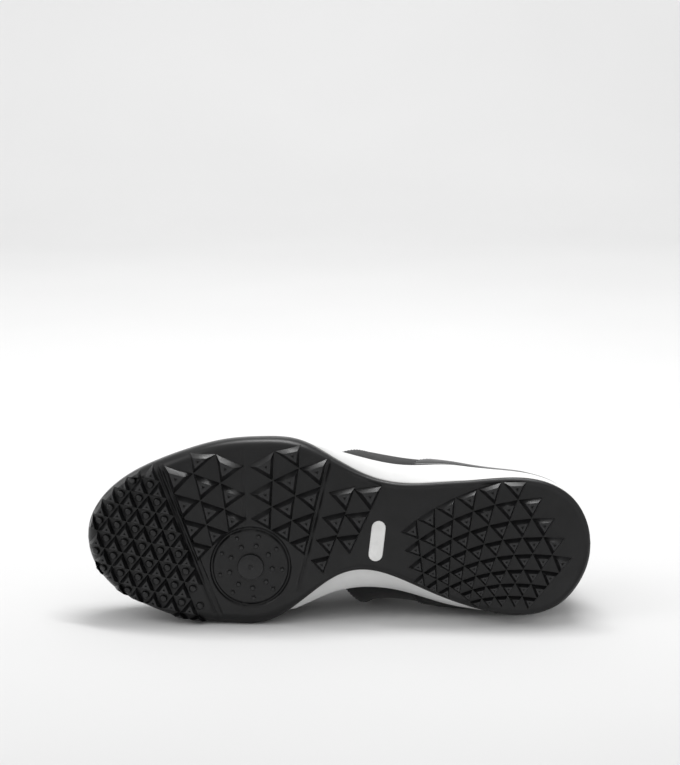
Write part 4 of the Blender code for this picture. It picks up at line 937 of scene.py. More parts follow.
def thread(tree, shader):
    colour = ramp(tree, noise(tree, 1500, 2), 0.3, 0.7, (0.012, 0.012, 0.0125), (0.028, 0.028, 0.030))
    tree.links.new(colour, shader.inputs["Base Color"])
    shader.inputs["Roughness"].default_value = 0.6
    add_bump(tree, shader, ((noise(tree, 4000, 2), 0.4, 0.0001),))


def inlay_plastic(tree, shader):
    colour = ramp(tree, noise(tree, 200, 4), 0.3, 0.75, (0.78, 0.78, 0.77), (0.88, 0.88, 0.87))
    tree.links.new(colour, shader.inputs["Base Color"])
    tree.links.new(spread(tree, noise(tree, 500, 3), 0.42, 0.58), shader.inputs["Roughness"])
    add_bump(tree, shader, ((noise(tree, 2400, 2), 0.25, 0.00006),))


RUBBER_LOOK = material("rubber_black", rubber)
FOAM_LOOK = material("foam_white", foam)
VAMP_LOOK = material("vamp_semi_gloss", vamp_skin)
MATTE_LOOK = material("overlay_matte", matte_skin)
LINING_LOOK = material("lining_weave", weave(700))
LACE_LOOK = material("lace_weave", weave(1000))
THREAD_LOOK = material("thread_dark", thread)
INLAY_LOOK = material("inlay_white", inlay_plastic)


# Outsole

LONG_STEPS = 480          # stations of the outsole's fine mesh along the shoe
CROSS_STEPS = 132         # points of each row across it
BEAD = (0.0016, 0.0009, 0.0006)    # raised bead: distance from the outline, half width, height
DISC_DISH = 0.0005        # hollow of the pivot disc
# Lines of the straight grooves: groove, sideways shift, half width, depth
GROOVE_LINES = (
    (TOE_GROOVE, -0.0013, 0.0009, 0.0012),
    (TOE_GROOVE, 0.0013, 0.0010, 0.0016),
    (REAR_GROOVE, 0.0, 0.0010, 0.0014),
    (MIDDLE_GROOVE, 0.0, 0.0009, 0.0006),
)


def fine_turns(steps):
    """Turns from heel to toe, closer together at both ends."""
    share = np.linspace(0, 1, steps + 1)
    station = mix(share, station_of(share), 0.5)
    return np.arccos(np.clip(1 - 2 * station, -1, 1)) / np.pi


def groove_distance(x, y, groove, shift=0.0):
    """Distance of plan points from a groove's line, which may be shifted sideways."""
    (ax, ay), (bx, by) = groove
    a = np.array((ax * LENGTH, ay * BALL_WIDTH))
    b = np.array((bx * LENGTH, by * BALL_WIDTH))
    length = np.linalg.norm(b - a)
    line = (b - a) / length
    reach = (x - a[0]) * line[0] + (y - a[1]) * line[1]
    off = line[0] * (y - a[1]) - line[1] * (x - a[0]) - shift
    beyond = np.maximum(np.maximum(-reach, reach - length), 0)
    return np.hypot(off, beyond)


def trough(distance, half_width):
    return 1 - smooth(half_width * 0.45, half_width * 1.15, distance)


def plate_relief(x, y, edge_distance):
    """How far the underside lies above its base height, from grooves, disc and bead."""
    relief = np.zeros_like(x)
    for groove, shift, width, depth in GROOVE_LINES:
        relief = np.maximum(relief, depth * trough(groove_distance(x, y, groove, shift), width))
    middle = disc_middle()
    radius = np.hypot(x - middle[0], y - middle[1])
    inside = radius < DISC_DIAMETER / 2
    centre = DISC_DIAMETER / 2 - DISC_GROOVE / 2
    relief = np.where(inside, DISC_DISH * (1 - (2 * radius / DISC_DIAMETER) ** 2), relief)
    relief = np.maximum(relief, GROOVE_DEPTH * trough(np.abs(radius - centre), DISC_GROOVE / 2))
    bare = 1 - smooth(0.46, 0.56, x / LENGTH)
    offset, width, height = BEAD
    return relief - bare * height * np.exp(-((edge_distance - offset) / width) ** 2)


# Rounded lower edge of the outsole, at the bare waist and under the cup's wall
ROLL_WIDTH = (0.0016, 0.0065)
ROLL_HEIGHT = (0.0014, 0.0074)
LIP_DROP = (0.0004, 0.0010)        # the wall's edge is rounded over this height
LIP_SHARE = (0.35, 0.5)            # half the lip against CUP_WALL
WALL_DRAFT = 0.0002                # the cup's wall leans in by this much
ARC_STEPS = 9                      # rows of a rounded edge


def cup_size(turns):
    """0 at the bare waist and heel, 1 where the cup's wall has its full height."""
    return np.clip(cup_share(turns), 0, 1)


def roll_rows(turns):
    """Insets and heights over the base of the outsole's rounded lower edge."""
    share = cup_size(turns)
    wide = mix(*ROLL_WIDTH, share)
    high = mix(*ROLL_HEIGHT, share)
    rows = []
    for angle in np.linspace(0, math.pi / 2, ARC_STEPS):
        rows.append((wide * (1 - math.sin(angle)), high * (1 - math.cos(angle))))
    return rows


OUTLINE_TURNS = np.linspace(0, 2, 3001)[:-1]
OUTLINE = loop_points(OUTSOLE_SHARE, OUTLINE_TURNS)
OUTLINE_TREE = KDTree(len(OUTLINE))
for spot_number, (spot_x, spot_y) in enumerate(OUTLINE):
    OUTLINE_TREE.insert((spot_x, spot_y, 0), spot_number)
OUTLINE_TREE.balance()


def groove_ends(groove):
    """Stations where a groove's line meets the outline, on the lateral and the medial side."""
    ends = []
    for turns in (np.linspace(0.05, 0.95, 1801), 2 - np.linspace(0.05, 0.95, 1801)):
        off = [abs(groove_side(spot, groove)) for spot in loop_points(OUTSOLE_SHARE, turns)]
        ends.append(float(station_of(turns[int(np.argmin(off))])))
    return ends


def medial_turns(lateral):
    """Medial end of each row of the underside, so that the rows run along the grooves."""
    marks = [(0, 0), (0.34, 0.34), groove_ends(REAR_GROOVE), groove_ends(MIDDLE_GROOVE),
             groove_ends(TOE_GROOVE), (1, 1)]
    stations = np.interp(station_of(lateral), [mark[0] for mark in marks], [mark[1] for mark in marks])
    return 2 - np.arccos(np.clip(1 - 2 * stations, -1, 1)) / np.pi


def make_plate():
    """Underside, rounded edge and cup wall of the outsole as one fine mesh."""
    shape = Shape()
    lateral = fine_turns(LONG_STEPS)
    loop = np.concatenate([lateral, medial_turns(lateral)[::-1][1:-1]])
    rows = roll_rows(loop)
    inner = inset_loop(OUTSOLE_SHARE, loop, rows[0][0])
    count = len(lateral)
    left = inner[:count]
    right = np.concatenate([inner[:1], inner[count:][::-1], inner[count - 1:count]])
    across = np.linspace(0, 1, CROSS_STEPS)[None, :, None]
    plan = mix(left[:, None, :], right[:, None, :], across)
    flat = plan.reshape(-1, 2)
    distance = np.array([OUTLINE_TREE.find((x, y, 0))[2] for x, y in flat]).reshape(plan.shape[:2])
    x, y = plan[..., 0], plan[..., 1]
    z = base_height(np.clip(x / LENGTH, 0, 1)) + plate_relief(x, y, distance)
    shape.grid(np.concatenate([plan, z[..., None]], axis=2))
    wall = []
    share = cup_size(loop)
    top = cup_top(loop) + mix(0.0004, 0.0, share)
    drop = mix(*LIP_DROP, share)
    for k, (inset, above) in enumerate(rows):
        spot = inset_loop(OUTSOLE_SHARE, loop, inset)
        relief = plate_relief(spot[:, 0], spot[:, 1], np.full(len(loop), 0.0) + inset)
        fade = 1 - k / (len(rows) - 1)
        wall.append(ring(spot, base_height(own_station(spot)) + above + relief * fade))
    low = wall[-1][:, 2]
    for lift in (0.35, 0.7):
        spot = inset_loop(OUTSOLE_SHARE, loop, WALL_DRAFT * lift * share)
        wall.append(ring(spot, mix(low, top - drop, lift)))
    lip = CUP_WALL * mix(*LIP_SHARE, share)
    for angle in np.linspace(0, math.pi, ARC_STEPS):
        inset = WALL_DRAFT * share + lip * (1 - math.cos(angle))
        wall.append(ring(inset_loop(OUTSOLE_SHARE, loop, inset), top - drop * (1 - math.sin(angle))))
    inner_edge = inset_loop(OUTSOLE_SHARE, loop, WALL_DRAFT * share + 2 * lip)
    wall.append(ring(inner_edge, top - mix(0.0012, 0.004, share)))
    shape.grid(wall, closed=True)
    return shape.make("outsole_body", ["outsole"], [RUBBER_LOOK])


def triangle_ring(corners, height, radius):
    """Nine points of a triangle with cut corners."""
    points = []
    for i in range(3):
        corner = corners[i]
        before_it = corners[i - 1] - corner
        after_it = corners[(i + 1) % 3] - corner
        a = corner + before_it / np.linalg.norm(before_it) * radius
        b = corner + after_it / np.linalg.norm(after_it) * radius
        points += [a, (a + b) / 2 * 0.55 + corner * 0.45, b]
    points = np.array(points)
    return ring(points, np.full(9, 0.0)) + np.array((0, 0, 1)) * np.broadcast_to(height, 9)[:, None]


def own_base(points):
    """Height of the outsole's underside at points, with its rounded edge."""
    points = np.asarray(points)
    found = [OUTLINE_TREE.find((x, y, 0)) for x, y in points[:, :2]]
    distance = np.array([hit[2] for hit in found])
    turns = OUTLINE_TURNS[[hit[1] for hit in found]]
    share = cup_size(turns)
    reach = np.clip(1 - distance / mix(*ROLL_WIDTH, share), 0, 1)
    roll = mix(*ROLL_HEIGHT, share) * (1 - np.sqrt(1 - np.minimum(reach, 0.97) ** 2))
    return base_height(np.clip(points[:, 0] / LENGTH, 0, 1)) + roll


def placed_lug(corners, disc_reach, margin):
    """Foot and top corners of a lug, or None where it would stand outside the sole."""
    corners = np.array(corners)
    middle = corners.mean(axis=0)
    inside = [inside_outline(corner, margin) for corner in corners]
    if inside_outline(middle, margin + (LUG_SLIVER if margin > TOE_MARGIN else -TOE_OVERHANG))[1] > 0:
        return None
    if np.linalg.norm(middle - disc_middle()) < disc_reach:
        return None
    corners = np.array([point for point, over in inside])
    middle = corners.mean(axis=0)
    foot = middle + (corners - middle) * FOOT_SCALE
    lean = ((foot[1] + foot[2]) / 2 - foot[0]) * LUG_LEAN
    return foot, middle + lean + (foot - middle) * LUG_TOP


DIMPLE = (0.00100, 0.00062, 0.0010)    # radius at the top, at the bottom, and depth
LUG_EDGE = 0.00014        # rounding of a lug's top edge
FOOT_SCALE = 0.985        # a lug's foot against its cell, with its soft root
TOE_MARGIN = 0.0002       # the toe's tread runs out to the outline
TOE_OVERHANG = 0.0030     # a toe lug whose middle is this far past it is drawn in, not left out
SIDE_MARGIN = 0.0014


def add_fine_lug(shape, foot, top):
    size = np.linalg.norm(foot[0] - foot[1])
    levels = []
    for share, drop, radius, mark in ((-0.20, -0.0018, 0.0004, 0), (-0.04, -0.0001, 0.0004, 0),
                                      (0.02, 0.0002, 0.0004, 0.02), (0.50, 0.0020, 0.0003, 0.05),
                                      (0.965, LUG_HEIGHT - LUG_EDGE, 0.0003, 0.2),
                                      (0.992, LUG_HEIGHT - LUG_EDGE * 0.3, 0.0003, 0.8)):
        plan = mix(foot, top, share)
        points = triangle_ring(plan, 0.0, radius * size / 0.013)
        points[:, 2] = own_base(points) - drop
        levels.append((points, mark))
    centre = top.mean(axis=0)
    shrunk = centre + (top - centre) * (1 - 2.6 * LUG_EDGE / np.linalg.norm(top[0] - centre))
    points = triangle_ring(shrunk, 0.0, 0.0003 * size / 0.013)
    points[:, 2] = own_base(points) - LUG_HEIGHT
    levels.append((points, 1.0))
    angles = np.arctan2(points[:, 1] - centre[1], points[:, 0] - centre[0])
    outer, inner, depth = np.array(DIMPLE) * min(1.0, size / 0.0125)
    for radius, drop, mark in ((outer * 1.5, LUG_HEIGHT, 1.0), (outer, LUG_HEIGHT - 0.00008, 0.6),
                               (inner, LUG_HEIGHT - depth, 0.0)):
        points = ring(centre + radius * np.stack([np.cos(angles), np.sin(angles)], axis=1), np.zeros(9))
        points[:, 2] = own_base(points) - drop
        levels.append((points, mark))
    rows = np.array([points for points, mark in levels])
    marks = np.repeat([mark for points, mark in levels], 9)
    shape.grid(rows, closed=True, mark=marks)
    end = rows[-1]
    shape.fan(end, end.mean(axis=0), 0.0)


def add_stud(shape, middle, levels, sides=20):
    """A round stud. The levels hold a radius, a height below the base and a mark."""
    rows = []
    marks = []
    for radius, drop, mark in levels:
        points = ring(circle(middle, radius, sides), np.zeros(sides))
        points[:, 2] = own_base(points) - drop
        rows.append(points)
        marks += [mark] * sides
    shape.grid(np.array(rows), closed=True, mark=marks)
    shape.fan(rows[-1], rows[-1].mean(axis=0), marks[-1])


STUD_CLEAR = 0.0060       # the toe's round studs keep this far from the toe groove
STUD_MARGIN = 0.0018      # and this far inside the outline
CRISP_ANGLE = 38          # edges of the tread that bend more than this stay crisp
# Round studs from root to top: radius, height below the base, mark
TOE_STUD = ((0.0024, -0.0012, 0.0), (0.0022, 0.0002, 0.1), (0.0021, 0.0014, 0.2), (0.0017, 0.0019, 0.5),
            (0.0010, 0.0021, 0.5))
# The same for hub and pins, as shares of their radius and height
HUB_PROFILE = ((1.0, -4 / 9, 0), (1.0, 0.45, 0.15), (0.97, 0.78, 0.4), (0.88, 1.0, 0.7), (0.5, 1.02, 0.55),
               (0.22, 1.0, 0.6), (0.15, 0.75, 0.2), (0.08, 0.6, 0.0))
PIN_PROFILE = ((1.05, -0.75, 0), (1.0, 0.0, 0.1), (0.95, 0.7, 0.4), (0.75, 0.95, 0.8), (0.4, 1.0, 0.9))


def scaled(profile, radius, height):
    return [(share * radius, rise * height, mark) for share, rise, mark in profile]


def make_tread():
    """Lugs, small round studs and the pivot disc's hub and pins as one mesh."""
    shape = Shape()
    disc_reach = DISC_DIAMETER / 2 + DISC_CLEAR
    lugs = []
    for side, steep, first, count in FOREFOOT_COLUMNS:
        lugs += [(forefoot_lug(side, steep, first + k), SIDE_MARGIN) for k in range(count)]
    for row, (count, start) in enumerate(HEEL_ROWS):
        lugs += [(heel_lug(start + k, row), SIDE_MARGIN) for k in range(count)]
    for step in range(-TOE_GRID, TOE_GRID):
        for row in range(-TOE_GRID, TOE_GRID):
            corners = toe_lug(step, row)
            middle = np.mean(corners, axis=0)
            if middle[0] < LENGTH and groove_side(middle, TOE_GROOVE) > GROOVE_CLEAR:
                lugs.append((corners, TOE_MARGIN))
            spot = toe_spot(step + 2 / 3, row - 1 / 3)
            if (spot[0] < LENGTH and groove_side(spot, TOE_GROOVE) > STUD_CLEAR
                    and inside_outline(spot, STUD_MARGIN)[1] == 0):
                add_stud(shape, spot, TOE_STUD)
    for corners, margin in lugs:
        placed = placed_lug(corners, disc_reach, margin)
        if placed is not None:
            add_fine_lug(shape, *placed)
    middle = disc_middle()
    add_stud(shape, middle, scaled(HUB_PROFILE, HUB_DIAMETER / 2, HUB_HEIGHT), sides=40)
    for share, diameter in PIN_RINGS:
        for k in range(PIN_DIRECTIONS):
            angle = math.radians(PIN_START - 360 * k / PIN_DIRECTIONS)
            spot = middle + share * DISC_DIAMETER * np.array((math.cos(angle), math.sin(angle)))
            add_stud(shape, spot, scaled(PIN_PROFILE, diameter / 2, PIN_HEIGHT), sides=16)
    piece = shape.make("outsole_tread", [], [RUBBER_LOOK])
    sharpen(piece, CRISP_ANGLE)
    return piece


def make_inlay():
    shape = Shape()
    base = float(base_height(INLAY_PLACE[0]))
    rows = []
    for inset, above in ((0.0002, 0.0010), (0.0002, 0.0001), (0.0003, -0.0001), (0.0006, -0.0003),
                         (0.0010, -0.00035), (0.0030, -0.0004)):
        outline = pill_outline(inset)
        rows.append(ring(outline, np.full(len(outline), base + above)))
    shape.grid(np.array(rows), closed=True)
    shape.fan(rows[-1], rows[-1].mean(axis=0))
    return shape.make("sole_inlay_white", ["sole_inlay"], [INLAY_LOOK])


# Midsole

def make_midsole():
    shape = Shape()
    turns = np.linspace(0, 2, 641)[:-1]
    own = before(SIDE_ENDS, turns)[:, None]
    cup = inset_loop(OUTSOLE_SHARE, turns, CUP_WALL + 2 * GAP)
    foot = inset_loop(OUTSOLE_SHARE, turns, SIDE_INSET)
    wide = inset_loop(MIDSOLE_SHARE, turns, 0.0)
    ledge = cup_ledge(turns)
    top = rim_top(turns)
    round_top = np.minimum(0.0011, (top - ledge) * 0.3)
    rows = [ring(cup, ledge + 0.0001)]
    for rise in np.linspace(0, 1, 14):
        side = mix(cup, mix(foot, wide, side_share(rise)), own)
        rows.append(ring(side, mix(ledge, top - round_top, rise)))
    rim = bite_loop(turns, 0.0)
    edge = mix(cup, wide, own)
    for angle in np.linspace(0.2, math.pi, 8):
        plan = mix(edge, rim, (1 - math.cos(angle)) / 2)
        rows.append(ring(plan, top - round_top * (1 - math.sin(angle))))
    bed_edge = bed_loop(turns, 0.0002)
    rows.append(ring(bed_edge, bed_height(own_station(bed_edge))))
    shape.grid(np.array(rows), closed=True)
    return shape.make("midsole_foam", ["midsole"], [FOAM_LOOK])


# Upper

# Creases across the vamp: station where each crosses the middle, slant, half width and depth in metres,
# and the climbs between which it runs
CREASES = (
    (0.655, 0.030, 0.0050, 0.0011, 0.25, 1.0),
    (0.705, 0.015, 0.0042, 0.0009, 0.30, 1.0),
    (0.748, -0.005, 0.0036, 0.0006, 0.35, 1.0),
    (0.600, 0.045, 0.0045, 0.0007, 0.30, 0.85),
)
# Slow swells of the skin: waves around the shoe, waves up it, height
SWELLS = ((7.0, 1.6, 0.00035), (13.0, 2.3, 0.00018))


def skin(turns, climbs):
    """The upper's outer skin with its creases and slow swells."""
    points = upper_points(turns, climbs)
    normals = upper_normals(turns, climbs)
    turns, climbs = np.broadcast_arrays(np.asarray(turns, dtype=float), np.asarray(climbs, dtype=float))
    x = points[..., 0]
    offset = np.zeros(points.shape[:2])
    rising = smooth(0.02, 0.25, climbs)
    for station, slant, width, depth, low, high in CREASES:
        centre = LENGTH * (station - slant * (1 - climbs))
        run = smooth(low - 0.15, low + 0.1, climbs) * (1 - smooth(high, high + 0.1, climbs))
        off = (x - centre) / width
        offset += depth * run * (-np.exp(-off ** 2) + 0.45 * np.exp(-((np.abs(off) - 1.9) / 0.9) ** 2))
    for waves, up, height in SWELLS:
        offset += height * rising * np.sin(np.pi * waves * turns + 1.3 * up * np.pi * climbs)
    return points + normals * offset[..., None], normals


def make_upper():
    shape = Shape()
    turns = np.linspace(0, 2, 521)[:-1]
    rows = []
    for inset in (GAP + MARGIN, GAP):
        plan = bed_loop(turns, inset)
        rows.append(ring(plan, bed_height(own_station(plan)) + GAP))
    climbs = np.linspace(0.0, 1.0, 62)
    grid_turns, grid_climbs = np.meshgrid(turns, climbs, indexing="xy")
    points, normals = skin(grid_turns, grid_climbs)
    rows = np.concatenate([np.array(rows), points])
    shape.grid(rows, closed=True)
    upper = shape.make("upper_skin", ["upper"], [VAMP_LOOK, LINING_LOOK])
    outward = upper_normals(np.array([0.6]), np.array([0.5]))[0] @ STAND[:, :3].T
    spot = upper_points(np.array([0.6]), np.array([0.5]))[0] @ STAND[:, :3].T + STAND[:, 3]
    near = min(upper.data.polygons, key=lambda face: (face.center - Vector(spot)).length)
    if near.normal.dot(Vector(outward)) < 0:
        upper.data.flip_normals()
    padded = upper.vertex_groups.new(name="padded")
    for k, climb in enumerate(climbs):
        share = smooth(0.5, 0.88, climb) * (1 - smooth(PADDED[0], PADDED[1], station_of(turns)))
        for i, value in enumerate(share):
            if value > 0:
                padded.add([(k + 2) * len(turns) + i], float(value), "REPLACE")
    shell = upper.modifiers.new("wall", "SOLIDIFY")
    shell.thickness = COLLAR_WALL
    shell.offset = -1.0
    shell.use_even_offset = False
    shell.vertex_group = "padded"
    shell.thickness_vertex_group = UPPER_WALL / COLLAR_WALL
    shell.material_offset = 1
    shell.material_offset_rim = 0
    return upper


def wall_at(turns):
    share = 1 - smooth(PADDED[0], PADDED[1], station_of(turns))
    return mix(UPPER_WALL, COLLAR_WALL, share)


def make_binding():
    """Rolled edge around collar and throat, over the end of the wall."""
    shape = Shape()
    turns = np.linspace(0, 2, 421)[:-1]
    edge, normals = skin(turns[None, :], np.ones((1, len(turns))))
    wall = wall_at(turns)
    path = edge[0] - normals[0] * (wall / 2)[:, None]
    up = edge[0] - skin(turns[None, :], np.full((1, len(turns)), 0.96))[0][0]
    profile = np.stack([oval(width * 1.08, width * mix(1.3, 0.8, (width - UPPER_WALL) / COLLAR_WALL), 12)
                        for width in wall])
    sweep(shape, path, up, profile, closed=True)
    return shape.make("collar_binding", [], [MATTE_LOOK])


# Overlays

QUARTER_EDGE = ((0.0, 0.510), (0.35, 0.484), (0.7, 0.468), (1.0, 0.460))
COUNTER_EDGE = ((0.0, 0.350), (0.5, 0.325), (1.0, 0.295))
ROLL = 0.0016             # width of an overlay's rolled border
LAYER_REST = LAYER_GAP * 0.3       # underside of an overlay over the skin
LAYER_THICK = OVERLAY * 0.7        # what shows of an overlay's thickness


def overlay(shape, turns, climbs, rest, thickness, open_top=False):
    """A layer over the skin, rolled down at its borders. Rows and columns hold turn and climb."""
    points, normals = skin(turns, climbs)
    rows, columns = points.shape[:2]
    up = np.linalg.norm(np.diff(points, axis=0), axis=2)
    along_it = np.linalg.norm(np.diff(points, axis=1), axis=2)
    from_low = np.concatenate([np.zeros((1, columns)), np.cumsum(up, axis=0)])
    from_start = np.concatenate([np.zeros((rows, 1)), np.cumsum(along_it, axis=1)], axis=1)
    border = np.minimum(from_low, np.minimum(from_start, from_start[:, -1:] - from_start))
    if not open_top:
        border = np.minimum(border, from_low[-1:] - from_low)
    s = np.clip(border / ROLL, 0, 1)
    lift = mix(-0.0002, rest + thickness, np.sqrt(1 - (1 - s) ** 2))
    layer = points + normals * lift[..., None]
    shape.grid(layer)
    return layer, normals


def crowded(count, ends=6):
    """Shares from 0 to 1 that crowd together at both ends, for the rolled borders."""
    near = np.array((0.0, 0.002, 0.006, 0.011, 0.017, 0.024))[:ends]
    return np.concatenate([near, np.linspace(0.034, 0.966, count), (1 - near)[::-1]])


def wrap(shape, edge_table, top, foot, rest, thickness, columns, rows):
    """An overlay round the heel between its front edges, a lower edge and a top line."""
    front = along(edge_table, 1)
    up = crowded(rows)
    over = crowded(columns)
    stations = front(up)
    reach = np.arccos(1 - 2 * stations) / np.pi
    turns = mix(-reach[:, None], reach[:, None], over[None, :])
    highest = top(turns.ravel()).reshape(turns.shape)
    climbs = mix(foot, highest, up[:, None])
    return overlay(shape, turns, climbs, rest, thickness)


STITCH = 0.0021           # length of one stitch
STITCH_GAP = 0.0009
STITCH_WIDTH = 0.00042
STITCH_ARCH = (-0.00010, 0.00010, 0.00016, 0.00010, -0.00010)
STITCH_ENDS = 4           # rows of an overlay's grid at each end of its border without stitches


def run_length(line):
    """Distance of each point of a line from its start, along the line."""
    return np.concatenate([[0], np.cumsum(np.linalg.norm(np.diff(line, axis=0), axis=1))])


def add_stitches(shape, points, normals):
    """A row of stitches along a path of surface points."""
    reach = run_length(points)
    arch = np.array(STITCH_ARCH)[:, None]
    for k in range(int(reach[-1] / (STITCH + STITCH_GAP))):
        at = (k + 0.2) * (STITCH + STITCH_GAP) + np.linspace(0, STITCH, len(STITCH_ARCH))
        path = np.stack([np.interp(at, reach, points[:, i]) for i in range(3)], axis=1)
        up = np.stack([np.interp(at, reach, normals[:, i]) for i in range(3)], axis=1)
        sweep(shape, path + up * arch, up, oval(STITCH_WIDTH, STITCH_WIDTH * 0.9, 6))


def stitch_border(shape, grid, normals, inset, sides):
    """Stitches at an inset from the named borders of an overlay's grid."""
    for side in sides:
        rows, upright = grid, normals
        if side in ("low", "high"):
            rows, upright = np.swapaxes(grid, 0, 1), np.swapaxes(normals, 0, 1)
        if side in ("end", "high"):
            rows, upright = rows[:, ::-1], upright[:, ::-1]
        path = []
        ups = []
        for line, up in zip(rows[STITCH_ENDS:-STITCH_ENDS], upright[STITCH_ENDS:-STITCH_ENDS]):
            reach = run_length(line)
            path.append([np.interp(inset, reach, line[:, i]) for i in range(3)])
            ups.append([np.interp(inset, reach, up[:, i]) for i in range(3)])
        add_stitches(shape, np.array(path), np.array(ups))


def make_overlays():
    stitches = Shape()
    shape = Shape()
    grid, normals = wrap(shape, QUARTER_EDGE, quarter_top, OVERLAY_FOOT * 0.4,
                         LAYER_REST, LAYER_THICK, 200, 34)
    shape.make("quarter_layer", ["quarter"], [MATTE_LOOK])
    for inset in (0.0028, 0.0050):
        stitch_border(stitches, grid, normals, inset, ("start", "end"))
    stitch_border(stitches, grid, normals, 0.0026, ("high",))
    shape = Shape()
    grid, normals = wrap(shape, COUNTER_EDGE, counter_top, OVERLAY_FOOT * 0.6,
                         LAYER_REST + LAYER_THICK, OVERLAY, 130, 22)
    shape.make("heel_counter_layer", ["heel_counter"], [VAMP_LOOK])
    stitch_border(stitches, grid, normals, 0.0026, ("start", "end", "high"))
    shape = Shape()
    start = turn_of(EYESTAY_TOP)
    turns = mix(start, 2 - start, crowded(170))
    up = crowded(14)
    low = band_climb(turns)
    climbs = mix(low[None, :], 0.995, up[:, None])
    grid, normals = overlay(shape, np.broadcast_to(turns, climbs.shape), climbs, LAYER_REST, LAYER_THICK,
                            open_top=True)
    shape.make("eyestay_layer", ["eyestay"], [MATTE_LOOK])
    stitch_border(stitches, grid, normals, 0.0024, ("low",))
    stitch_border(stitches, grid, normals, 0.0022, ("high",))
    stitches.make("stitches", [], [THREAD_LOOK])


# Tongue, insole and laces

def make_tongue(instep):
    shape = Shape()
    lift = -(UPPER_WALL + TONGUE_CLEAR)
    front = TONGUE_FRONT * LENGTH
    half_width = along(TONGUE_PLAN, 1)
    across = np.linspace(-1, 1, 25)
    spine = []
    for share in np.linspace(0, 1, 34):
        x = mix(front, instep.top, share)
        half = TONGUE_WIDTH / 2 * float(half_width(share))
        middle = float(np.mean([np.interp(x, edge[::-1, 0], edge[::-1, 1]) for edge in instep.edges]))
        spine.append([instep.place(x, middle + half * s, lift) for s in across])
    spine = np.array(spine)
    rise = spine[-1] - spine[-3]
    rise /= np.linalg.norm(rise, axis=1)[:, None]
    extra = []
    for share in np.linspace(0.08, 1, 14):
        row = spine[-1] + rise * TONGUE_RISE * share
        centre = row.mean(axis=0)
        row[:, 1] = centre[1] + (row[:, 1] - centre[1]) * (1 - TONGUE_TAPER * share)
        bow = 0.0035 * share * (1 - np.abs(across) ** 2.5)
        extra.append(row + rise * (bow - 0.004 * share * np.abs(across) ** 6)[:, None])
    sheet = np.concatenate([spine, np.array(extra)])
    down = np.cross(np.gradient(sheet, axis=0), np.gradient(sheet, axis=1))
    down /= np.linalg.norm(down, axis=2)[..., None]
    down *= np.where(down[..., 2:] > 0, -1, 1)
    length_share = np.linspace(0, 1, len(sheet))[:, None]
    swell = mix(0.62, 1.0, smooth(0.35, 0.8, length_share)) * (1 - 0.75 * smooth(0.965, 1.0, length_share))
    thick = TONGUE_WALL * swell * np.sqrt(np.clip(1 - np.abs(across[None, :]) ** 5, 0, 1))
    upper_side = sheet + down * (TONGUE_WALL * 0.5 - thick / 2)[..., None]
    lower_side = sheet + down * (TONGUE_WALL * 0.5 + thick / 2)[..., None]
    shape.grid(np.concatenate([upper_side, lower_side[:, ::-1]], axis=1), closed=True)
    for row in (0, -1):
        loop = np.concatenate([upper_side[row], lower_side[row, ::-1]])
        shape.fan(loop, loop.mean(axis=0))
    return shape.make("tongue_padded", ["tongue"], [LINING_LOOK])


def make_insole():
    shape = Shape()
    turns = np.linspace(0, 2, 241)[:-1]
    inner = UPPER_WALL + INSOLE_CLEAR
    rows = []
    for inset, height in ((0.0012, 0.0), (0.0, 0.0010), (0.0002, 0.0060), (0.0012, 0.0066),
                          (0.0030, 0.0060), (0.0060, 0.0044), (0.0090, INSOLE)):
        plan = bed_loop(turns, GAP + inner + inset)
        rows.append(ring(plan, bed_height(own_station(plan)) + UPPER_WALL + 3 * GAP + height))
    shape.grid(np.array(rows), closed=True)
    last = rows[-1]
    half = len(turns) // 2
    left = last[:half + 1]
    right = np.concatenate([last[:1], last[half:][::-1]])
    shape.grid(mix(left[:, None, :], right[:, None, :], np.linspace(0, 1, 12)[None, :, None]))
    return shape.make("insole_textile", ["insole"], [LINING_LOOK])


LACE_REST = 0.0016        # underside of the lower strands over the instep


def make_laces(instep, spots):
    """Crossing strands from eyelet to eyelet, the medial ones over the lateral ones in turn."""
    shape = Shape()
    lateral, medial = [[centre for centre, normal in row] for row in spots]
    strands = [(lateral[0], medial[0], 0.0, 0.0)]
    for k in range(EYELETS - 1):
        over = 1.0 if k % 2 == 0 else 0.0
        strands.append((lateral[k], medial[k + 1], 1 - over, 0.5))
        strands.append((medial[k], lateral[k + 1], over, 0.5))
    for start, end, over, crossing in strands:
        share = np.linspace(-0.02, 1.02, 34)
        path = []
        ups = []
        for s in share:
            x, y = mix(start[:2], end[:2], s)
            lift = LACE_REST + LACE_THICK / 2
            lift += over * (LACE_THICK + 0.0003) * math.exp(-((s - 0.5) / 0.16) ** 2)
            dip = smooth(0.0, 0.07, min(s, 1 - s) + 0.02)
            low = instep.place(x, y, 0.0)
            high = instep.place(x, y, lift)
            path.append(low + (high - low) * float(mix(-0.6, 1.0, dip)))
            ups.append((high - low) / np.linalg.norm(high - low))
        sweep(shape, np.array(path), np.array(ups), oval(LACE_WIDTH, LACE_THICK, 12, 1.6))
    return shape.make("laces_flat", ["lace_crossings"], [LACE_LOOK])


def make_eyelets(spots):
    shape = Shape()
    for row in spots:
        for centre, normal in row:
            axis = Vector(normal).orthogonal().normalized()
            other = Vector(normal).cross(axis)
            rows = []
            for angle in 2 * np.pi * np.arange(24) / 24:
                out = np.array(axis) * math.cos(angle) + np.array(other) * math.sin(angle)
                ring_points = []
                for turn in 2 * np.pi * np.arange(8) / 8:
                    ring_points.append(centre + normal * (OVERLAY + 0.0003 * math.sin(turn))
                                       + out * (EYELET_DIAMETER / 2 + 0.0004 + 0.0005 * math.cos(turn)))
                rows.append(ring_points)
            rows.append(rows[0])
            shape.grid(np.array(rows), closed=True)
    return shape.make("eyelet_rings", [], [THREAD_LOOK])


# Stage

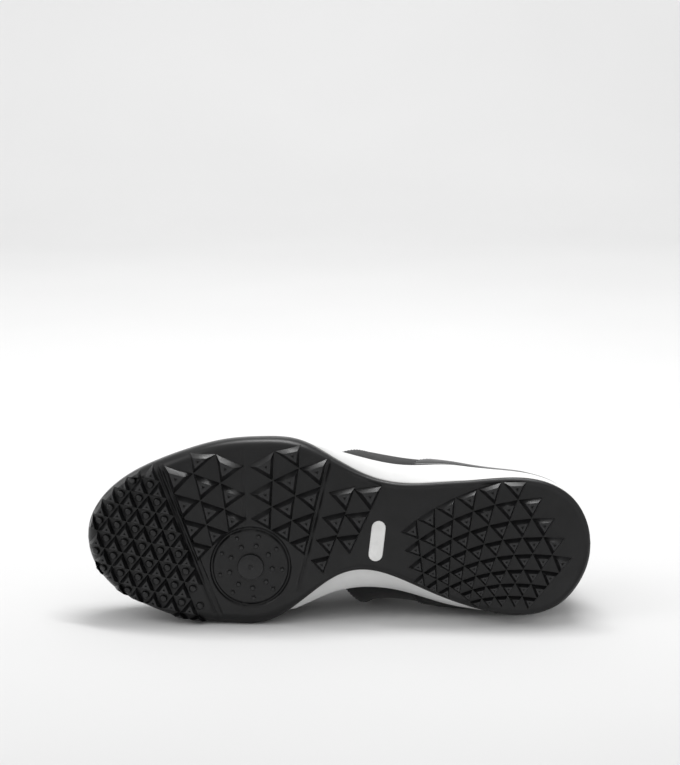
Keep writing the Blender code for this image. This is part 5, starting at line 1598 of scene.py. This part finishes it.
CAMERA_DISTANCE = 1.55    # from the shoe's middle
CAMERA_RISE = 13.9        # degrees above it
CAMERA_AIM = 0.0885       # the camera looks this far above the shoe's middle
CAMERA_LENS = 127.1       # millimetres on a 36 mm sensor
SHOE_MIDDLE = (0.0005, -0.040, 0.050)


def floor_look(tree, shader):
    colour = ramp(tree, noise(tree, 3, 2), 0.3, 0.7, (0.73, 0.73, 0.73), (0.75, 0.75, 0.75))
    tree.links.new(colour, shader.inputs["Base Color"])
    shader.inputs["Roughness"].default_value = 0.9
    shader.inputs["Specular IOR Level"].default_value = 0.1


def make_stage():
    bm = bmesh.new()
    rows = [(-4.0, 0.0), (1.6, 0.0)]
    for k in range(1, 13):
        angle = math.pi / 2 * k / 12
        rows.append((1.6 + 0.9 * math.sin(angle), 0.9 * (1 - math.cos(angle))))
    rows.append((2.5, 4.0))
    verts = [[bm.verts.new((x, y, z)) for x in (-4.0, 4.0)] for y, z in rows]
    for low, high in zip(verts, verts[1:]):
        face = bm.faces.new((low[0], low[1], high[1], high[0]))
        face.smooth = True
    mesh = bpy.data.meshes.new("floor")
    bm.to_mesh(mesh)
    bm.free()
    floor = bpy.data.objects.new("floor", mesh)
    bpy.context.scene.collection.objects.link(floor)
    mesh.materials.append(material("floor_pale", floor_look))


def add_light(name, place, aim, size, power, depth=None):
    data = bpy.data.lights.new(name, "AREA")
    data.shape = "RECTANGLE" if depth else "DISK"
    data.size = size
    if depth:
        data.size_y = depth
    data.energy = power
    light = bpy.data.objects.new(name, data)
    bpy.context.scene.collection.objects.link(light)
    light.location = place
    light.rotation_mode = "QUATERNION"
    light.rotation_quaternion = (Vector(aim) - Vector(place)).to_track_quat("-Z", "Y")


def make_lights():
    add_light("strip", (0.12, 0.16, 1.20), (0, -0.02, 0.05), 0.80, 6.5, 0.11)
    add_light("side", (-1.0, -0.5, 1.0), (0, 0, 0.05), 0.80, 2.5)
    add_light("backdrop", (0.0, 0.5, 1.9), (0, 2.4, 0.7), 1.6, 25.0)
    world = bpy.data.worlds.new("studio")
    world.use_nodes = True
    world.node_tree.nodes["Background"].inputs["Color"].default_value = (1, 1, 1, 1)
    world.node_tree.nodes["Background"].inputs["Strength"].default_value = 0.66
    bpy.context.scene.world = world
    bpy.context.scene.view_settings.view_transform = "Standard"


def make_camera():
    data = bpy.data.cameras.new("camera")
    data.lens = CAMERA_LENS
    data.sensor_width = 36
    camera = bpy.data.objects.new("camera", data)
    bpy.context.scene.collection.objects.link(camera)
    rise = math.radians(CAMERA_RISE)
    middle = Vector(SHOE_MIDDLE)
    place = middle + CAMERA_DISTANCE * Vector((0, -math.cos(rise), math.sin(rise)))
    camera.location = place
    aim = middle + Vector((0, 0, CAMERA_AIM))
    camera.rotation_mode = "QUATERNION"
    camera.rotation_quaternion = (aim - place).to_track_quat("-Z", "Y")
    bpy.context.scene.camera = camera


def main():
    make_stage()
    make_lights()
    make_camera()
    make_plate()
    make_tread()
    make_inlay()
    make_midsole()
    make_upper()
    make_binding()
    make_overlays()
    instep = Instep()
    spots = eyelet_spots(instep)
    make_tongue(instep)
    make_insole()
    make_laces(instep, spots)
    make_eyelets(spots)


main()
